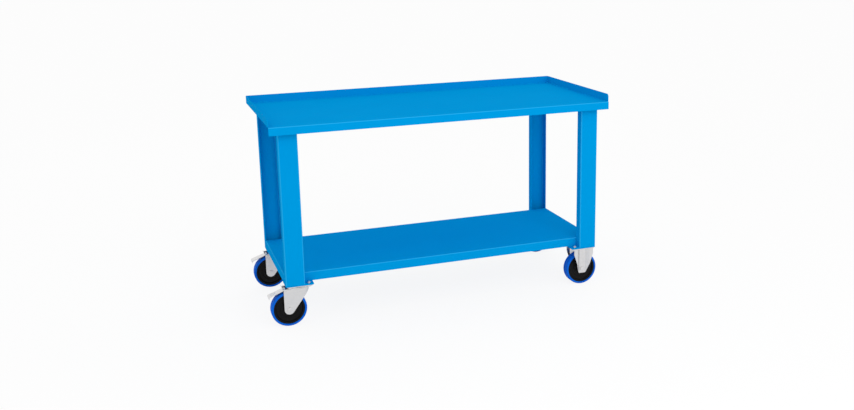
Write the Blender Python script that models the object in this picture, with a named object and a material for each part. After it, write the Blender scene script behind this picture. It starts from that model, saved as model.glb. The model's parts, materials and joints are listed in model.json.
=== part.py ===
"""Mobile workbench: a folded sheet-steel bench on two braked swivel casters and two fixed casters.

Units are metres, +Z is up, the front of the bench faces -Y and the swivel casters are at -X. The origin
is on the floor, under the middle of the outline.
"""

from math import acos, atan2, cos, hypot, pi, radians, sin, tan

import bmesh
import bpy
from mathutils import Matrix, Vector

# Clearances
SEAT_GAP = 0.0003  # between pieces that touch
RUN_GAP = 0.0003  # between a turning piece and what it turns on
PASS_GAP = 0.0015  # between a moving piece and what it passes

# Worktop tray
WORKTOP_LENGTH = 1.500
WORKTOP_DEPTH = 0.650
WORKTOP_SHEET = 0.002
WORK_SURFACE_HEIGHT = 0.8575
UPSTAND_HEIGHT = 0.0335  # rear and side edges above the work surface
APRON_DROP = 0.0335  # front edge below the work surface
UPSTAND_CORNER_RADIUS = 0.012  # front top corners of the side edges
TRAY_FOLD_RADIUS = 0.0028  # to the middle of the sheet
CORNER_RELIEF = 0.001  # between the front fold and the side edges

# Legs, with their head plates and foot plates
LEG_WIDTH = 0.080
LEG_DEPTH = 0.0375
LEG_SHEET = 0.0025
LEG_FOLD_RADIUS = 0.004
LEG_INSET = 0.0385  # from the worktop's end
LEG_SETBACK = 0.0325  # from the worktop's front or rear edge
HEAD_PLATE_OVERHANG = 0.012  # past each side of the leg
HEAD_PLATE_DEPTH = 0.070
HEAD_PLATE_THICKNESS = 0.004
FOOT_PLATE_LENGTH = 0.117
FOOT_PLATE_WIDTH = 0.085
FOOT_PLATE_THICKNESS = 0.005
PLATE_CORNER_RADIUS = 0.005

# Lower shelf tray
SHELF_SHEET = 0.002
SHELF_DROP = 0.039  # edges below the shelf's top

# Hat-section stiffeners
HAT_WIDTH = 0.080
HAT_CROWN_WIDTH = 0.042
HAT_HEIGHT = 0.026
HAT_SHEET = 0.0015
HAT_FOLD_RADIUS = 0.003
HAT_SPACING = 0.240  # between the two under the worktop
HAT_END_MARGIN = 0.030  # from the legs, or from the shelf's foot plates

# Fasteners
BOLT_DIAMETER = 0.008
BOLT_FLATS = 0.013
BOLT_HEAD_HEIGHT = 0.0053
BOLT_NUT_HEIGHT = 0.0065
BOLT_END = 0.002  # past the nut
BOLT_SPACING_X = 0.080
BOLT_SPACING_Y = 0.060

# Wheels
WHEEL_DIAMETER = 0.150
WHEEL_WIDTH = 0.040
TYRE_THICKNESS = 0.0095
TYRE_SHOULDER_RADIUS = 0.005
HUB_FACE_RECESS = 0.003  # rim of the hub inside the tyre's side
HUB_WEB_THICKNESS = 0.020
HUB_RIM_THICKNESS = 0.007
HUB_BOSS_DIAMETER = 0.041
HUB_BORE_DIAMETER = 0.020
AXLE_DIAMETER = 0.012
AXLE_FLATS = 0.018
AXLE_HEAD_HEIGHT = 0.0035
AXLE_NUT_HEIGHT = 0.008
AXLE_END = 0.002  # past the nut

# Caster plates, forks and brackets
CASTER_PLATE_LENGTH = 0.105
CASTER_PLATE_THICKNESS = 0.0035
CASTER_SHEET = 0.003
CASTER_INNER_GAP = 0.047  # between the cheeks that hold the wheel
CASTER_FOLD_RADIUS = 0.0035
CROWN_CLEARANCE = 0.0135  # over the tyre
CASTER_TRAIL = 0.046  # axle behind the kingpin
CHEEK_END_RADIUS = 0.021
FORK_LEAD = 0.042  # nose of the fork ahead of the kingpin
FORK_NOSE_DROP = 0.006  # edge of the nose below the crown
FORK_SLOT_FRONT = 0.044  # crown cut away for the pedal behind this distance from the kingpin

# Swivel bearing
RACE_STACK = 0.0075  # between the fork's crown and the top plate
PAN_RADIUS = 0.040
PAN_WALL = 0.0035
PAN_HEIGHT = 0.0048
PAN_STEP = 0.0006  # pan above the crown's own level
RACE_THICKNESS = 0.0025
RACE_BORE_DIAMETER = 0.025
BALL_CIRCLE_DIAMETER = 0.056
KINGPIN_DIAMETER = 0.012
KINGPIN_HEAD_DIAMETER = 0.020
KINGPIN_HEAD_HEIGHT = 0.004

# Fixed brackets
TONGUE_BOTTOM_WIDTH = 0.033
TONGUE_BOTTOM_DROP = 0.020  # below the axle
TONGUE_STRIP_WIDTH = 0.030  # flat that carries the axle
TONGUE_SLOPE_WIDTH = 0.016  # from the flat out to the skirt
SKIRT_HEIGHT = 0.024  # straight stretch under the plate

# Brake pedals
PEDAL_SHEET = 0.0022
PEDAL_LENGTH = 0.070  # from its pin to its tip
PEDAL_ROOT_WIDTH = 0.036
PEDAL_TIP_WIDTH = 0.042
PEDAL_TIP_RADIUS = 0.008
PEDAL_LIP = 0.008  # downturned tip
PEDAL_OFFSET = 0.0055  # middle of the tread over the pin
PEDAL_EAR_RADIUS = 0.0043
PEDAL_FOLD_RADIUS = 0.004
RELEASE_TAB_HEIGHT = 0.017
RELEASE_TAB_WIDTH = 0.026
PEDAL_PIN_DIAMETER = 0.005
PEDAL_PIN_HEAD_DIAMETER = 0.009
PEDAL_PIN_HEAD_HEIGHT = 0.002
PEDAL_PIN_INSET = 0.007  # from the fork's trailing edge
PEDAL_PIN_DROP = 0.0092  # below the crown
SHOE_THICKNESS = 0.003
SHOE_LENGTH = 0.016
SHOE_WIDTH = 0.026
BRAKE_ANGLE = radians(12)  # from released to braked
BRAKE_CLEARANCE = 0.0006  # left between shoe and tyre when braked

# Steps round full circles and folds
WHEEL_STEPS = 32
RING_STEPS = 24
PIN_STEPS = 12
FOLD_STEPS = 2
CORNER_STEPS = 2

# Levels, counted up from the floor
WHEEL_RADIUS = WHEEL_DIAMETER / 2
CROWN_BOTTOM = WHEEL_DIAMETER + CROWN_CLEARANCE
CROWN_TOP = CROWN_BOTTOM + CASTER_SHEET
CASTER_PLATE_BOTTOM = CROWN_TOP + RACE_STACK
CASTER_PLATE_TOP = CASTER_PLATE_BOTTOM + CASTER_PLATE_THICKNESS
FOOT_BOTTOM = CASTER_PLATE_TOP + SEAT_GAP
FOOT_TOP = FOOT_BOTTOM + FOOT_PLATE_THICKNESS
SHELF_TOP = FOOT_TOP + SEAT_GAP + SHELF_DROP
WORKTOP_UNDERSIDE = WORK_SURFACE_HEIGHT - WORKTOP_SHEET
HEAD_PLATE_TOP = WORKTOP_UNDERSIDE - SEAT_GAP
LEG_TOP = HEAD_PLATE_TOP - HEAD_PLATE_THICKNESS - SEAT_GAP
LEG_BOTTOM = FOOT_TOP + SEAT_GAP

# Places of the legs and casters, counted from the middle of the bench
LEG_OUTER_X = WORKTOP_LENGTH / 2 - LEG_INSET
LEG_OUTER_Y = WORKTOP_DEPTH / 2 - LEG_SETBACK
LEG_X = LEG_OUTER_X - LEG_WIDTH / 2
CASTER_X = LEG_OUTER_X - FOOT_PLATE_LENGTH / 2
CASTER_Y = LEG_OUTER_Y - FOOT_PLATE_WIDTH / 2
SHELF_LENGTH = 2 * LEG_OUTER_X
SHELF_DEPTH = 2 * (LEG_OUTER_Y - LEG_DEPTH - SEAT_GAP)

# The pedal's pin, counted from the kingpin, and the slope of the released tread. The braked tread lies
# along the line past the pin that clears the tyre by the shoe and its clearance.
PIN_BACK = CASTER_TRAIL + CHEEK_END_RADIUS - PEDAL_PIN_INSET
PIN_HEIGHT = CROWN_BOTTOM - PEDAL_PIN_DROP
PIN_FROM_AXLE = (PIN_BACK - CASTER_TRAIL, PIN_HEIGHT - WHEEL_RADIUS)
PIN_DISTANCE = hypot(*PIN_FROM_AXLE)
SHOE_REACH = WHEEL_RADIUS + BRAKE_CLEARANCE + SHOE_THICKNESS + SEAT_GAP + PEDAL_SHEET / 2 - PEDAL_OFFSET
SHOE_TURN = acos(SHOE_REACH / PIN_DISTANCE)
TREAD_SLOPE = atan2(*PIN_FROM_AXLE) + SHOE_TURN - BRAKE_ANGLE
SHOE_BACK = PIN_DISTANCE * sin(SHOE_TURN)

# The middle of the outline lies on the origin, so the bench stands off it by half the pedals' overhang.
PEDAL_TIP = PEDAL_LENGTH * cos(TREAD_SLOPE) + PEDAL_OFFSET * sin(TREAD_SLOPE)
PEDAL_TIP_X = CASTER_X + PIN_BACK + PEDAL_TIP
BENCH_X = (PEDAL_TIP_X - WORKTOP_LENGTH / 2) / 2

ENDS = {"left": -1, "right": 1}
SIDES = {"front": -1, "rear": 1}


def linear(hex_colour):
    """Linear red, green and blue of an sRGB hex colour."""
    values = [int(hex_colour[i : i + 2], 16) / 255 for i in (1, 3, 5)]
    return [v / 12.92 if v <= 0.04045 else ((v + 0.055) / 1.055) ** 2.4 for v in values]


def finish(name, hex_colour, roughness, metallic=0.0):
    """A surface finish as a Principled material."""
    material = bpy.data.materials.new(name)
    material.use_nodes = True
    shader = material.node_tree.nodes["Principled BSDF"]
    shader.inputs["Base Color"].default_value = (*linear(hex_colour), 1)
    shader.inputs["Roughness"].default_value = roughness
    shader.inputs["Metallic"].default_value = metallic
    material.diffuse_color = (*linear(hex_colour), 1)
    return material


def arc(centre, radius, start, stop, steps):
    """Points along an arc from one angle to another, with both ends."""
    angles = [start + (stop - start) * i / steps for i in range(steps + 1)]
    return [(centre[0] + radius * cos(a), centre[1] + radius * sin(a)) for a in angles]


def rounded_rectangle(length, width, radius):
    """Outline of a rectangle with round corners, about its middle."""
    x = length / 2 - radius
    y = width / 2 - radius
    outline = []
    for quarter, centre in enumerate([(x, y), (-x, y), (-x, -y), (x, -y)]):
        start = quarter * pi / 2
        outline += arc(centre, radius, start, start + pi / 2, CORNER_STEPS)
    return outline


def folded(path, sheet, radius):
    """Outline of a sheet folded along a path. The radius is to the middle of the sheet."""
    corners = [Vector(p) for p in path]
    line = []
    for i, corner in enumerate(corners):
        before = (corner - corners[max(i - 1, 0)]).normalized()
        after = (corners[min(i + 1, len(corners) - 1)] - corner).normalized()
        if i in (0, len(corners) - 1):
            line.append((corner, (before + after).normalized().orthogonal()))
            continue
        turn = atan2(before.cross(after), before.dot(after))
        side = 1 if turn > 0 else -1
        start = corner - before * radius * tan(abs(turn) / 2)
        for step in range(FOLD_STEPS + 1):
            normal = Matrix.Rotation(turn * step / FOLD_STEPS, 2) @ before.orthogonal()
            line.append((start + side * radius * (before.orthogonal() - normal), normal))
    left = [tuple(p + n * sheet / 2) for p, n in line]
    right = [tuple(p - n * sheet / 2) for p, n in line]
    return left + right[::-1]


def as_mesh(bm, name):
    """Closed mesh with its faces pointing out, smooth except at its edges."""
    bmesh.ops.recalc_face_normals(bm, faces=bm.faces)
    mesh = bpy.data.meshes.new(name)
    bm.to_mesh(mesh)
    bm.free()
    mesh.shade_smooth()
    mesh.set_sharp_from_angle(angle=radians(35))
    return mesh


def stacked(layers, plane, name="stacked"):
    """Solid through outlines in the plane XY, XZ or YZ, each at its height along the third axis."""
    place = {
        "XY": lambda a, b, c: (a, b, c),
        "XZ": lambda a, b, c: (a, c, b),
        "YZ": lambda a, b, c: (c, a, b),
    }[plane]
    bm = bmesh.new()
    rings = [[bm.verts.new(place(a, b, height)) for a, b in outline] for outline, height in layers]
    bm.faces.new(rings[0])
    bm.faces.new(rings[-1])
    for lower, upper in zip(rings, rings[1:]):
        for i in range(len(lower)):
            bm.faces.new((lower[i - 1], lower[i], upper[i], upper[i - 1]))
    return as_mesh(bm, name)


def prism(outline, low, high, plane, name="prism"):
    """Outline in a plane, carried along the third axis from low to high."""
    return stacked([(outline, low), (outline, high)], plane, name)


def turned(profile, steps, axis="Z", name="turned"):
    """Closed profile of (radius, height) points turned about an axis. Points of no radius lie on it."""
    place = {"Z": lambda x, y, h: (x, y, h), "Y": lambda x, y, h: (x, h, y)}[axis]
    bm = bmesh.new()
    rings = []
    for radius, height in profile:
        angles = [2 * pi * i / steps for i in range(steps)] if radius > 0 else [0]
        rings.append([bm.verts.new(place(radius * cos(a), radius * sin(a), height)) for a in angles])
    for lower, upper in zip(rings, rings[1:] + rings[:1]):
        for i in range(max(len(lower), len(upper)) if len(lower) + len(upper) > 2 else 0):
            corners = [lower[i - 1 if len(lower) > 1 else 0], lower[i if len(lower) > 1 else 0]]
            corners += [upper[i if len(upper) > 1 else 0], upper[i - 1 if len(upper) > 1 else 0]]
            bm.faces.new(dict.fromkeys(corners))
    return as_mesh(bm, name)


def cylinder(radius, low, high, steps, axis="Z", at=(0, 0, 0)):
    """Plain cylinder between two heights along an axis through a point."""
    mesh = turned([(0, low), (radius, low), (radius, high), (0, high)], steps, axis)
    mesh.transform(Matrix.Translation(at))
    return mesh


def hexagon(flats, low, high, axis="Z", at=(0, 0, 0)):
    """Hexagonal bar between two heights along an axis through a point."""
    return cylinder(flats / 2 / cos(pi / 6), low, high, 6, axis, at)


def shaped(base, *operations, name):
    """Mesh of a base after Boolean operations, each a pair of an operation and a mesh."""
    helpers = []
    for mesh in (base, *[tool for _, tool in operations]):
        helpers.append(bpy.data.objects.new("helper", mesh))
        bpy.context.scene.collection.objects.link(helpers[-1])
    for (operation, _), tool in zip(operations, helpers[1:]):
        modifier = helpers[0].modifiers.new(operation.lower(), "BOOLEAN")
        modifier.operation = operation
        modifier.solver = "EXACT"
        modifier.object = tool
    bpy.context.view_layer.update()
    evaluated = helpers[0].evaluated_get(bpy.context.evaluated_depsgraph_get())
    mesh = bpy.data.meshes.new_from_object(evaluated)
    for helper in helpers:
        bpy.data.objects.remove(helper)
    mesh.name = name
    mesh.shade_smooth()
    mesh.set_sharp_from_angle(angle=radians(35))
    return mesh


def folded_surface(polygons, folds, name):
    """Middle surface of a folded sheet: polygons that share their corners, with the fold edges marked."""
    bm = bmesh.new()
    weight = bm.edges.layers.float.new("bevel_weight_edge")
    corners = {}
    for polygon in polygons:
        for point in polygon:
            if point not in corners:
                corners[point] = bm.verts.new(point)
        bm.faces.new([corners[point] for point in polygon])
    for start, stop in folds:
        bm.edges.get((corners[start], corners[stop]))[weight] = 1
    return as_mesh(bm, name)


def add_piece(name, mesh, material, parent, at=(0, 0, 0), turn=(0, 0, 0)):
    """A named piece of the bench, placed under its parent."""
    piece = bpy.data.objects.new(name, mesh)
    bpy.context.scene.collection.objects.link(piece)
    piece.parent = parent
    piece.location = at
    piece.rotation_euler = turn
    if not mesh.materials:
        mesh.materials.append(material)
    return piece


def add_frame(name, parent=None, at=(0, 0, 0)):
    """An empty that carries pieces, on the axis that they turn about."""
    frame = bpy.data.objects.new(name, None)
    frame.empty_display_size = 0.05
    bpy.context.scene.collection.objects.link(frame)
    frame.parent = parent
    frame.location = at
    return frame


def fold_and_thicken(piece, radius, sheet):
    """Rounds the marked folds of a middle surface and gives it the sheet's thickness."""
    bevel = piece.modifiers.new("folds", "BEVEL")
    bevel.limit_method = "WEIGHT"
    bevel.width = radius
    bevel.segments = FOLD_STEPS
    thick = piece.modifiers.new("sheet", "SOLIDIFY")
    thick.thickness = sheet
    thick.offset = 0
    thick.use_even_offset = True
    piece.modifiers.new("flats", "WEIGHTED_NORMAL")


def worktop_surface():
    """Middle surface of the worktop, counted down from the work surface."""
    x = (WORKTOP_LENGTH - WORKTOP_SHEET) / 2
    y = (WORKTOP_DEPTH - WORKTOP_SHEET) / 2
    floor = -WORKTOP_SHEET / 2
    top = UPSTAND_HEIGHT
    start = -y + TRAY_FOLD_RADIUS + CORNER_RELIEF
    round_corner = arc(
        (start + UPSTAND_CORNER_RADIUS, top - UPSTAND_CORNER_RADIUS),
        UPSTAND_CORNER_RADIUS,
        pi,
        pi / 2,
        2 * CORNER_STEPS,
    )
    right = [(x, -y, floor), (x, start, floor), (x, y, floor)]
    flat = right + [(-px, py, pz) for px, py, pz in reversed(right)]
    front = [flat[5], flat[0], (x, -y, -APRON_DROP), (-x, -y, -APRON_DROP)]
    rear = [flat[3], flat[2], (x, y, top), (-x, y, top)]
    upstand = [(start, floor), *round_corner, (y, top), (y, floor)]
    sides = [[(end * x, py, pz) for py, pz in upstand] for end in ENDS.values()]
    folds = [(flat[5], flat[0]), (flat[1], flat[2]), (flat[2], flat[3]), (flat[3], flat[4])]
    return folded_surface([flat, front, rear, *sides], folds, "worktop")


def shelf_surface():
    """Middle surface of the lower shelf, counted down from its top."""
    x = (SHELF_LENGTH - SHELF_SHEET) / 2
    y = (SHELF_DEPTH - SHELF_SHEET) / 2
    flat = [(px, py, -SHELF_SHEET / 2) for px, py in ((-x, -y), (x, -y), (x, y), (-x, y))]
    edges = list(zip(flat, flat[1:] + flat[:1]))
    aprons = [[start, stop, (*stop[:2], -SHELF_DROP), (*start[:2], -SHELF_DROP)] for start, stop in edges]
    return folded_surface([flat, *aprons], edges, "lower_shelf")


def hat_outline():
    """Section of a stiffener, hanging from the sheet that it is welded to."""
    flange = -HAT_SHEET / 2
    crown = -HAT_HEIGHT + HAT_SHEET / 2
    wall = HAT_CROWN_WIDTH / 2
    path = [(-HAT_WIDTH / 2, flange), (-wall, flange), (-wall, crown)]
    path += [(-y, z) for y, z in reversed(path)]
    return folded(path, HAT_SHEET, HAT_FOLD_RADIUS)


def leg_mesh():
    """U-channel with its web on the line y = 0 and its flanges towards +Y."""
    wall = (LEG_WIDTH - LEG_SHEET) / 2
    path = [(-wall, LEG_DEPTH), (-wall, LEG_SHEET / 2), (wall, LEG_SHEET / 2), (wall, LEG_DEPTH)]
    return prism(folded(path, LEG_SHEET, LEG_FOLD_RADIUS), LEG_BOTTOM, LEG_TOP, "XY", "leg")


def head_plate_mesh():
    """Plate on top of a leg, with the two bolts that hold it up to the worktop."""
    outline = rounded_rectangle(LEG_WIDTH + 2 * HEAD_PLATE_OVERHANG, HEAD_PLATE_DEPTH, PLATE_CORNER_RADIUS)
    outline = [(x, y + HEAD_PLATE_DEPTH / 2) for x, y in outline]
    bottom = HEAD_PLATE_TOP - HEAD_PLATE_THICKNESS
    plate = prism(outline, bottom, HEAD_PLATE_TOP, "XY")
    bolt_y = (LEG_DEPTH + HEAD_PLATE_DEPTH) / 2
    low = bottom - BOLT_HEAD_HEIGHT
    high = HEAD_PLATE_TOP - HEAD_PLATE_THICKNESS / 2
    bolt_x = LEG_WIDTH / 4
    bolts = [("UNION", hexagon(BOLT_FLATS, low, high, at=(x, bolt_y, 0))) for x in (-bolt_x, bolt_x)]
    return shaped(plate, *bolts, name="leg_head_plate")


def bolt_places():
    """Middles of a caster's four bolts."""
    return [(x * BOLT_SPACING_X / 2, y * BOLT_SPACING_Y / 2) for x in (-1, 1) for y in (-1, 1)]


def foot_plate_mesh():
    """Plate under a leg, with holes for the caster's bolts."""
    outline = rounded_rectangle(FOOT_PLATE_LENGTH, FOOT_PLATE_WIDTH, PLATE_CORNER_RADIUS)
    plate = prism(outline, FOOT_BOTTOM, FOOT_TOP, "XY")
    radius = BOLT_DIAMETER / 2 + SEAT_GAP
    holes = [
        ("DIFFERENCE", cylinder(radius, FOOT_BOTTOM - radius, FOOT_TOP + radius, PIN_STEPS, at=(x, y, 0)))
        for x, y in bolt_places()
    ]
    return shaped(plate, *holes, name="foot_plate")


def caster_plate():
    """Caster plate as a base with the four bolts and nuts to fuse with it."""
    outline = rounded_rectangle(CASTER_PLATE_LENGTH, FOOT_PLATE_WIDTH, PLATE_CORNER_RADIUS)
    plate = prism(outline, CASTER_PLATE_BOTTOM, CASTER_PLATE_TOP, "XY")
    middle = (CASTER_PLATE_BOTTOM + CASTER_PLATE_TOP) / 2
    nut_bottom = FOOT_TOP + SEAT_GAP
    nut_top = nut_bottom + BOLT_NUT_HEIGHT
    fused = []
    for x, y in bolt_places():
        head = hexagon(BOLT_FLATS, CASTER_PLATE_BOTTOM - BOLT_HEAD_HEIGHT, middle, at=(x, y, 0))
        shank = cylinder(BOLT_DIAMETER / 2, middle, nut_top + BOLT_END, PIN_STEPS, at=(x, y, 0))
        nut = hexagon(BOLT_FLATS, nut_bottom, nut_top, at=(x, y, 0))
        fused += [("UNION", head), ("UNION", shank), ("UNION", nut)]
    return plate, fused


def top_plate_mesh():
    """Plate of a swivel caster, with its bolts and the hole for the kingpin."""
    plate, bolts = caster_plate()
    radius = KINGPIN_DIAMETER / 2 + SEAT_GAP
    hole = cylinder(radius, CASTER_PLATE_BOTTOM - radius, CASTER_PLATE_TOP + radius, PIN_STEPS)
    return shaped(plate, *bolts, ("DIFFERENCE", hole), name="top_plate")


def bracket_mesh():
    """Fixed bracket: plate with bolts, and two pressed cheeks whose tongues reach down to the axle."""
    plate, fused = caster_plate()
    strip_y = (CASTER_INNER_GAP + CASTER_SHEET) / 2
    skirt_y = (FOOT_PLATE_WIDTH - CASTER_SHEET) / 2
    end_x = CASTER_PLATE_LENGTH / 2
    strip_x = TONGUE_STRIP_WIDTH / 2
    slope_x = strip_x + TONGUE_SLOPE_WIDTH
    path = [(-end_x, skirt_y), (-slope_x, skirt_y), (-strip_x, strip_y)]
    section = folded(path + [(-x, y) for x, y in reversed(path)], CASTER_SHEET, CASTER_FOLD_RADIUS)
    bottom = WHEEL_RADIUS - TONGUE_BOTTOM_DROP
    top = CASTER_PLATE_BOTTOM + CASTER_PLATE_THICKNESS / 2
    skirt_x = end_x - PLATE_CORNER_RADIUS
    right_edge = [
        (TONGUE_BOTTOM_WIDTH / 2, bottom),
        (skirt_x, CASTER_PLATE_BOTTOM - SKIRT_HEIGHT),
        (skirt_x, top + CASTER_SHEET),
    ]
    outline = right_edge + [(-x, z) for x, z in reversed(right_edge)]
    for side in SIDES.values():
        cheek = prism([(x, side * y) for x, y in section], bottom - CASTER_SHEET, top, "XY")
        tongue = prism(outline, -FOOT_PLATE_WIDTH, FOOT_PLATE_WIDTH, "XZ")
        fused.append(("UNION", shaped(cheek, ("INTERSECT", tongue), name="cheek")))
    radius = AXLE_DIAMETER / 2 + SEAT_GAP
    hole = cylinder(radius, -FOOT_PLATE_WIDTH, FOOT_PLATE_WIDTH, PIN_STEPS, "Y", (0, 0, WHEEL_RADIUS))
    return shaped(plate, *fused, ("DIFFERENCE", hole), name="bracket")


def fork_block(inset, back, bottom, top, radius):
    """Block with the fork's plan, a round nose and straight sides, drawn in and rounded at the top."""
    outer = CASTER_INNER_GAP / 2 + CASTER_SHEET
    layers = []
    for step in range(FOLD_STEPS + 1):
        angle = step * pi / 2 / FOLD_STEPS
        half = outer - inset - radius * (1 - cos(angle))
        nose = arc((FORK_LEAD - outer, 0), half, -pi / 2, pi / 2, 3 * CORNER_STEPS)
        layers.append(([(-back, -half), *nose, (-back, half)], top - radius * (1 - sin(angle))))
    return stacked([(layers[0][0], bottom), *layers], "XY")


def fork_mesh():
    """Swivel fork: a pressed horseshoe shell cut to its side outline, with the pan of its bearing on top."""
    reach = CASTER_TRAIL + 2 * CHEEK_END_RADIUS
    outside = CASTER_FOLD_RADIUS + CASTER_SHEET / 2
    inside = CASTER_FOLD_RADIUS - CASTER_SHEET / 2
    shell = fork_block(0, reach, 0, CROWN_TOP, outside)
    hollow = fork_block(CASTER_SHEET, 2 * reach, -reach, CROWN_BOTTOM, inside)

    axle = (-CASTER_TRAIL, WHEEL_RADIUS)
    lead = (FORK_LEAD, CROWN_BOTTOM - FORK_NOSE_DROP)
    to_lead = (lead[0] - axle[0], lead[1] - axle[1])
    tangent = atan2(to_lead[1], to_lead[0]) - acos(CHEEK_END_RADIUS / hypot(*to_lead))
    above = CROWN_TOP + CASTER_SHEET
    outline = arc(axle, CHEEK_END_RADIUS, pi, 2 * pi + tangent, 3 * CORNER_STEPS)
    outline += [lead, (FORK_LEAD, above), (axle[0] - CHEEK_END_RADIUS, above)]
    across = 2 * CASTER_INNER_GAP
    cheeks = prism(outline, -across, across, "XZ")

    slot_y = CASTER_INNER_GAP / 2 - CASTER_SHEET / 4
    slot = [(-reach, -slot_y), (-FORK_SLOT_FRONT, -slot_y), (-FORK_SLOT_FRONT, slot_y), (-reach, slot_y)]
    bottom = CROWN_BOTTOM + PAN_STEP
    floor = CROWN_TOP + PAN_STEP
    rim = CROWN_TOP + PAN_HEIGHT
    pan = [
        (RACE_BORE_DIAMETER / 2, bottom),
        (PAN_RADIUS - PAN_WALL, bottom),
        (PAN_RADIUS, floor),
        (PAN_RADIUS, rim),
        (PAN_RADIUS - PAN_WALL, rim),
        (PAN_RADIUS - PAN_WALL, floor),
        (RACE_BORE_DIAMETER / 2, floor),
    ]
    kingpin_radius = KINGPIN_DIAMETER / 2 + RUN_GAP
    kingpin_hole = cylinder(kingpin_radius, CROWN_BOTTOM - across, CROWN_TOP + across, PIN_STEPS)
    axle_radius = AXLE_DIAMETER / 2 + SEAT_GAP
    axle_hole = cylinder(axle_radius, -across, across, PIN_STEPS, "Y", (axle[0], 0, axle[1]))
    pin_radius = PEDAL_PIN_DIAMETER / 2 + SEAT_GAP
    pin_hole = cylinder(pin_radius, -across, across, PIN_STEPS, "Y", (-PIN_BACK, 0, PIN_HEIGHT))
    return shaped(
        shell,
        ("DIFFERENCE", hollow),
        ("INTERSECT", cheeks),
        ("DIFFERENCE", prism(slot, CROWN_BOTTOM - outside, above, "XY")),
        ("UNION", turned(pan, RING_STEPS)),
        ("DIFFERENCE", kingpin_hole),
        ("DIFFERENCE", axle_hole),
        ("DIFFERENCE", pin_hole),
        name="fork",
    )


def upper_race_mesh():
    """Upper race of the swivel bearing, a ring pressed under the top plate."""
    top = CASTER_PLATE_BOTTOM - SEAT_GAP
    bottom = top - RACE_THICKNESS
    inner = RACE_BORE_DIAMETER / 2
    outer = PAN_RADIUS - PAN_WALL - PASS_GAP
    profile = [(inner, bottom), (outer, bottom), (outer, top), (inner, top)]
    return turned(profile, RING_STEPS, name="upper_race")


def ball_ring_mesh():
    """Balls of the swivel bearing with their cage, as one ring of round section."""
    low = CROWN_TOP + PAN_STEP + RUN_GAP
    high = CASTER_PLATE_BOTTOM - SEAT_GAP - RACE_THICKNESS - RUN_GAP
    section = arc((BALL_CIRCLE_DIAMETER / 2, (low + high) / 2), (high - low) / 2, 0, 2 * pi, 5)
    return turned(section[:-1], RING_STEPS, name="ball_ring")


def kingpin_mesh():
    """Rivet through the fork's crown, flush with the plate's top."""
    head_top = CROWN_BOTTOM - RUN_GAP
    head_bottom = head_top - KINGPIN_HEAD_HEIGHT
    head = KINGPIN_HEAD_DIAMETER / 2
    shank = KINGPIN_DIAMETER / 2
    profile = [
        (0, head_bottom),
        (head, head_bottom),
        (head, head_top),
        (shank, head_top),
        (shank, CASTER_PLATE_TOP),
        (0, CASTER_PLATE_TOP),
    ]
    return turned(profile, PIN_STEPS, name="kingpin")


def tyre_mesh():
    """Elastic tyre: flat tread with round shoulders, seated on the hub's rim."""
    inner = WHEEL_RADIUS - TYRE_THICKNESS
    side = WHEEL_WIDTH / 2
    round_radius = TYRE_SHOULDER_RADIUS
    centre = (WHEEL_RADIUS - round_radius, side - round_radius)
    shoulder = arc(centre, round_radius, pi / 2, 0, CORNER_STEPS)
    half = [(inner, side)] + shoulder
    profile = half + [(r, -y) for r, y in reversed(half)]
    return turned(profile, WHEEL_STEPS, "Y", "tyre")


def hub_mesh():
    """Moulded hub: rim, dished web and boss, bored for the axle sleeve."""
    rim = WHEEL_RADIUS - TYRE_THICKNESS - SEAT_GAP
    rim_side = WHEEL_WIDTH / 2 - HUB_FACE_RECESS
    rim_inner = rim - HUB_RIM_THICKNESS
    web_side = HUB_WEB_THICKNESS / 2
    boss = HUB_BOSS_DIAMETER / 2
    boss_side = CASTER_INNER_GAP / 2 - PASS_GAP
    slope = rim_side - web_side
    half = [
        (HUB_BORE_DIAMETER / 2, boss_side),
        (boss, boss_side),
        (boss + slope / 2, web_side),
        (rim_inner - slope / 2, web_side),
        (rim_inner, rim_side),
        (rim, rim_side),
    ]
    profile = half + [(r, -y) for r, y in reversed(half)]
    return turned(profile, WHEEL_STEPS, "Y", "hub")


def sleeve_mesh():
    """Spacer tube between the cheeks, on which the hub turns."""
    inner = AXLE_DIAMETER / 2 + SEAT_GAP
    outer = HUB_BORE_DIAMETER / 2 - RUN_GAP
    end = CASTER_INNER_GAP / 2 - SEAT_GAP
    profile = [(inner, -end), (outer, -end), (outer, end), (inner, end)]
    return turned(profile, PIN_STEPS, "Y", "sleeve")


def axle_seat():
    """Distance from the wheel's middle to where the axle's head or nut sits."""
    return CASTER_INNER_GAP / 2 + CASTER_SHEET + SEAT_GAP


def axle_bolt_mesh():
    """Axle bolt with its head at the front."""
    seat = axle_seat()
    end = seat + AXLE_NUT_HEIGHT + AXLE_END
    shank = cylinder(AXLE_DIAMETER / 2, -seat - AXLE_HEAD_HEIGHT / 2, end, PIN_STEPS, "Y")
    head = hexagon(AXLE_FLATS, -seat - AXLE_HEAD_HEIGHT, -seat, "Y")
    return shaped(shank, ("UNION", head), name="axle_bolt")


def axle_nut_mesh():
    """Nut on the axle's rear end."""
    seat = axle_seat()
    top = seat + AXLE_NUT_HEIGHT
    bore = cylinder(AXLE_DIAMETER / 2 + SEAT_GAP, 0, top + seat, PIN_STEPS, "Y")
    return shaped(hexagon(AXLE_FLATS, seat, top, "Y"), ("DIFFERENCE", bore), name="axle_nut")


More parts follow.
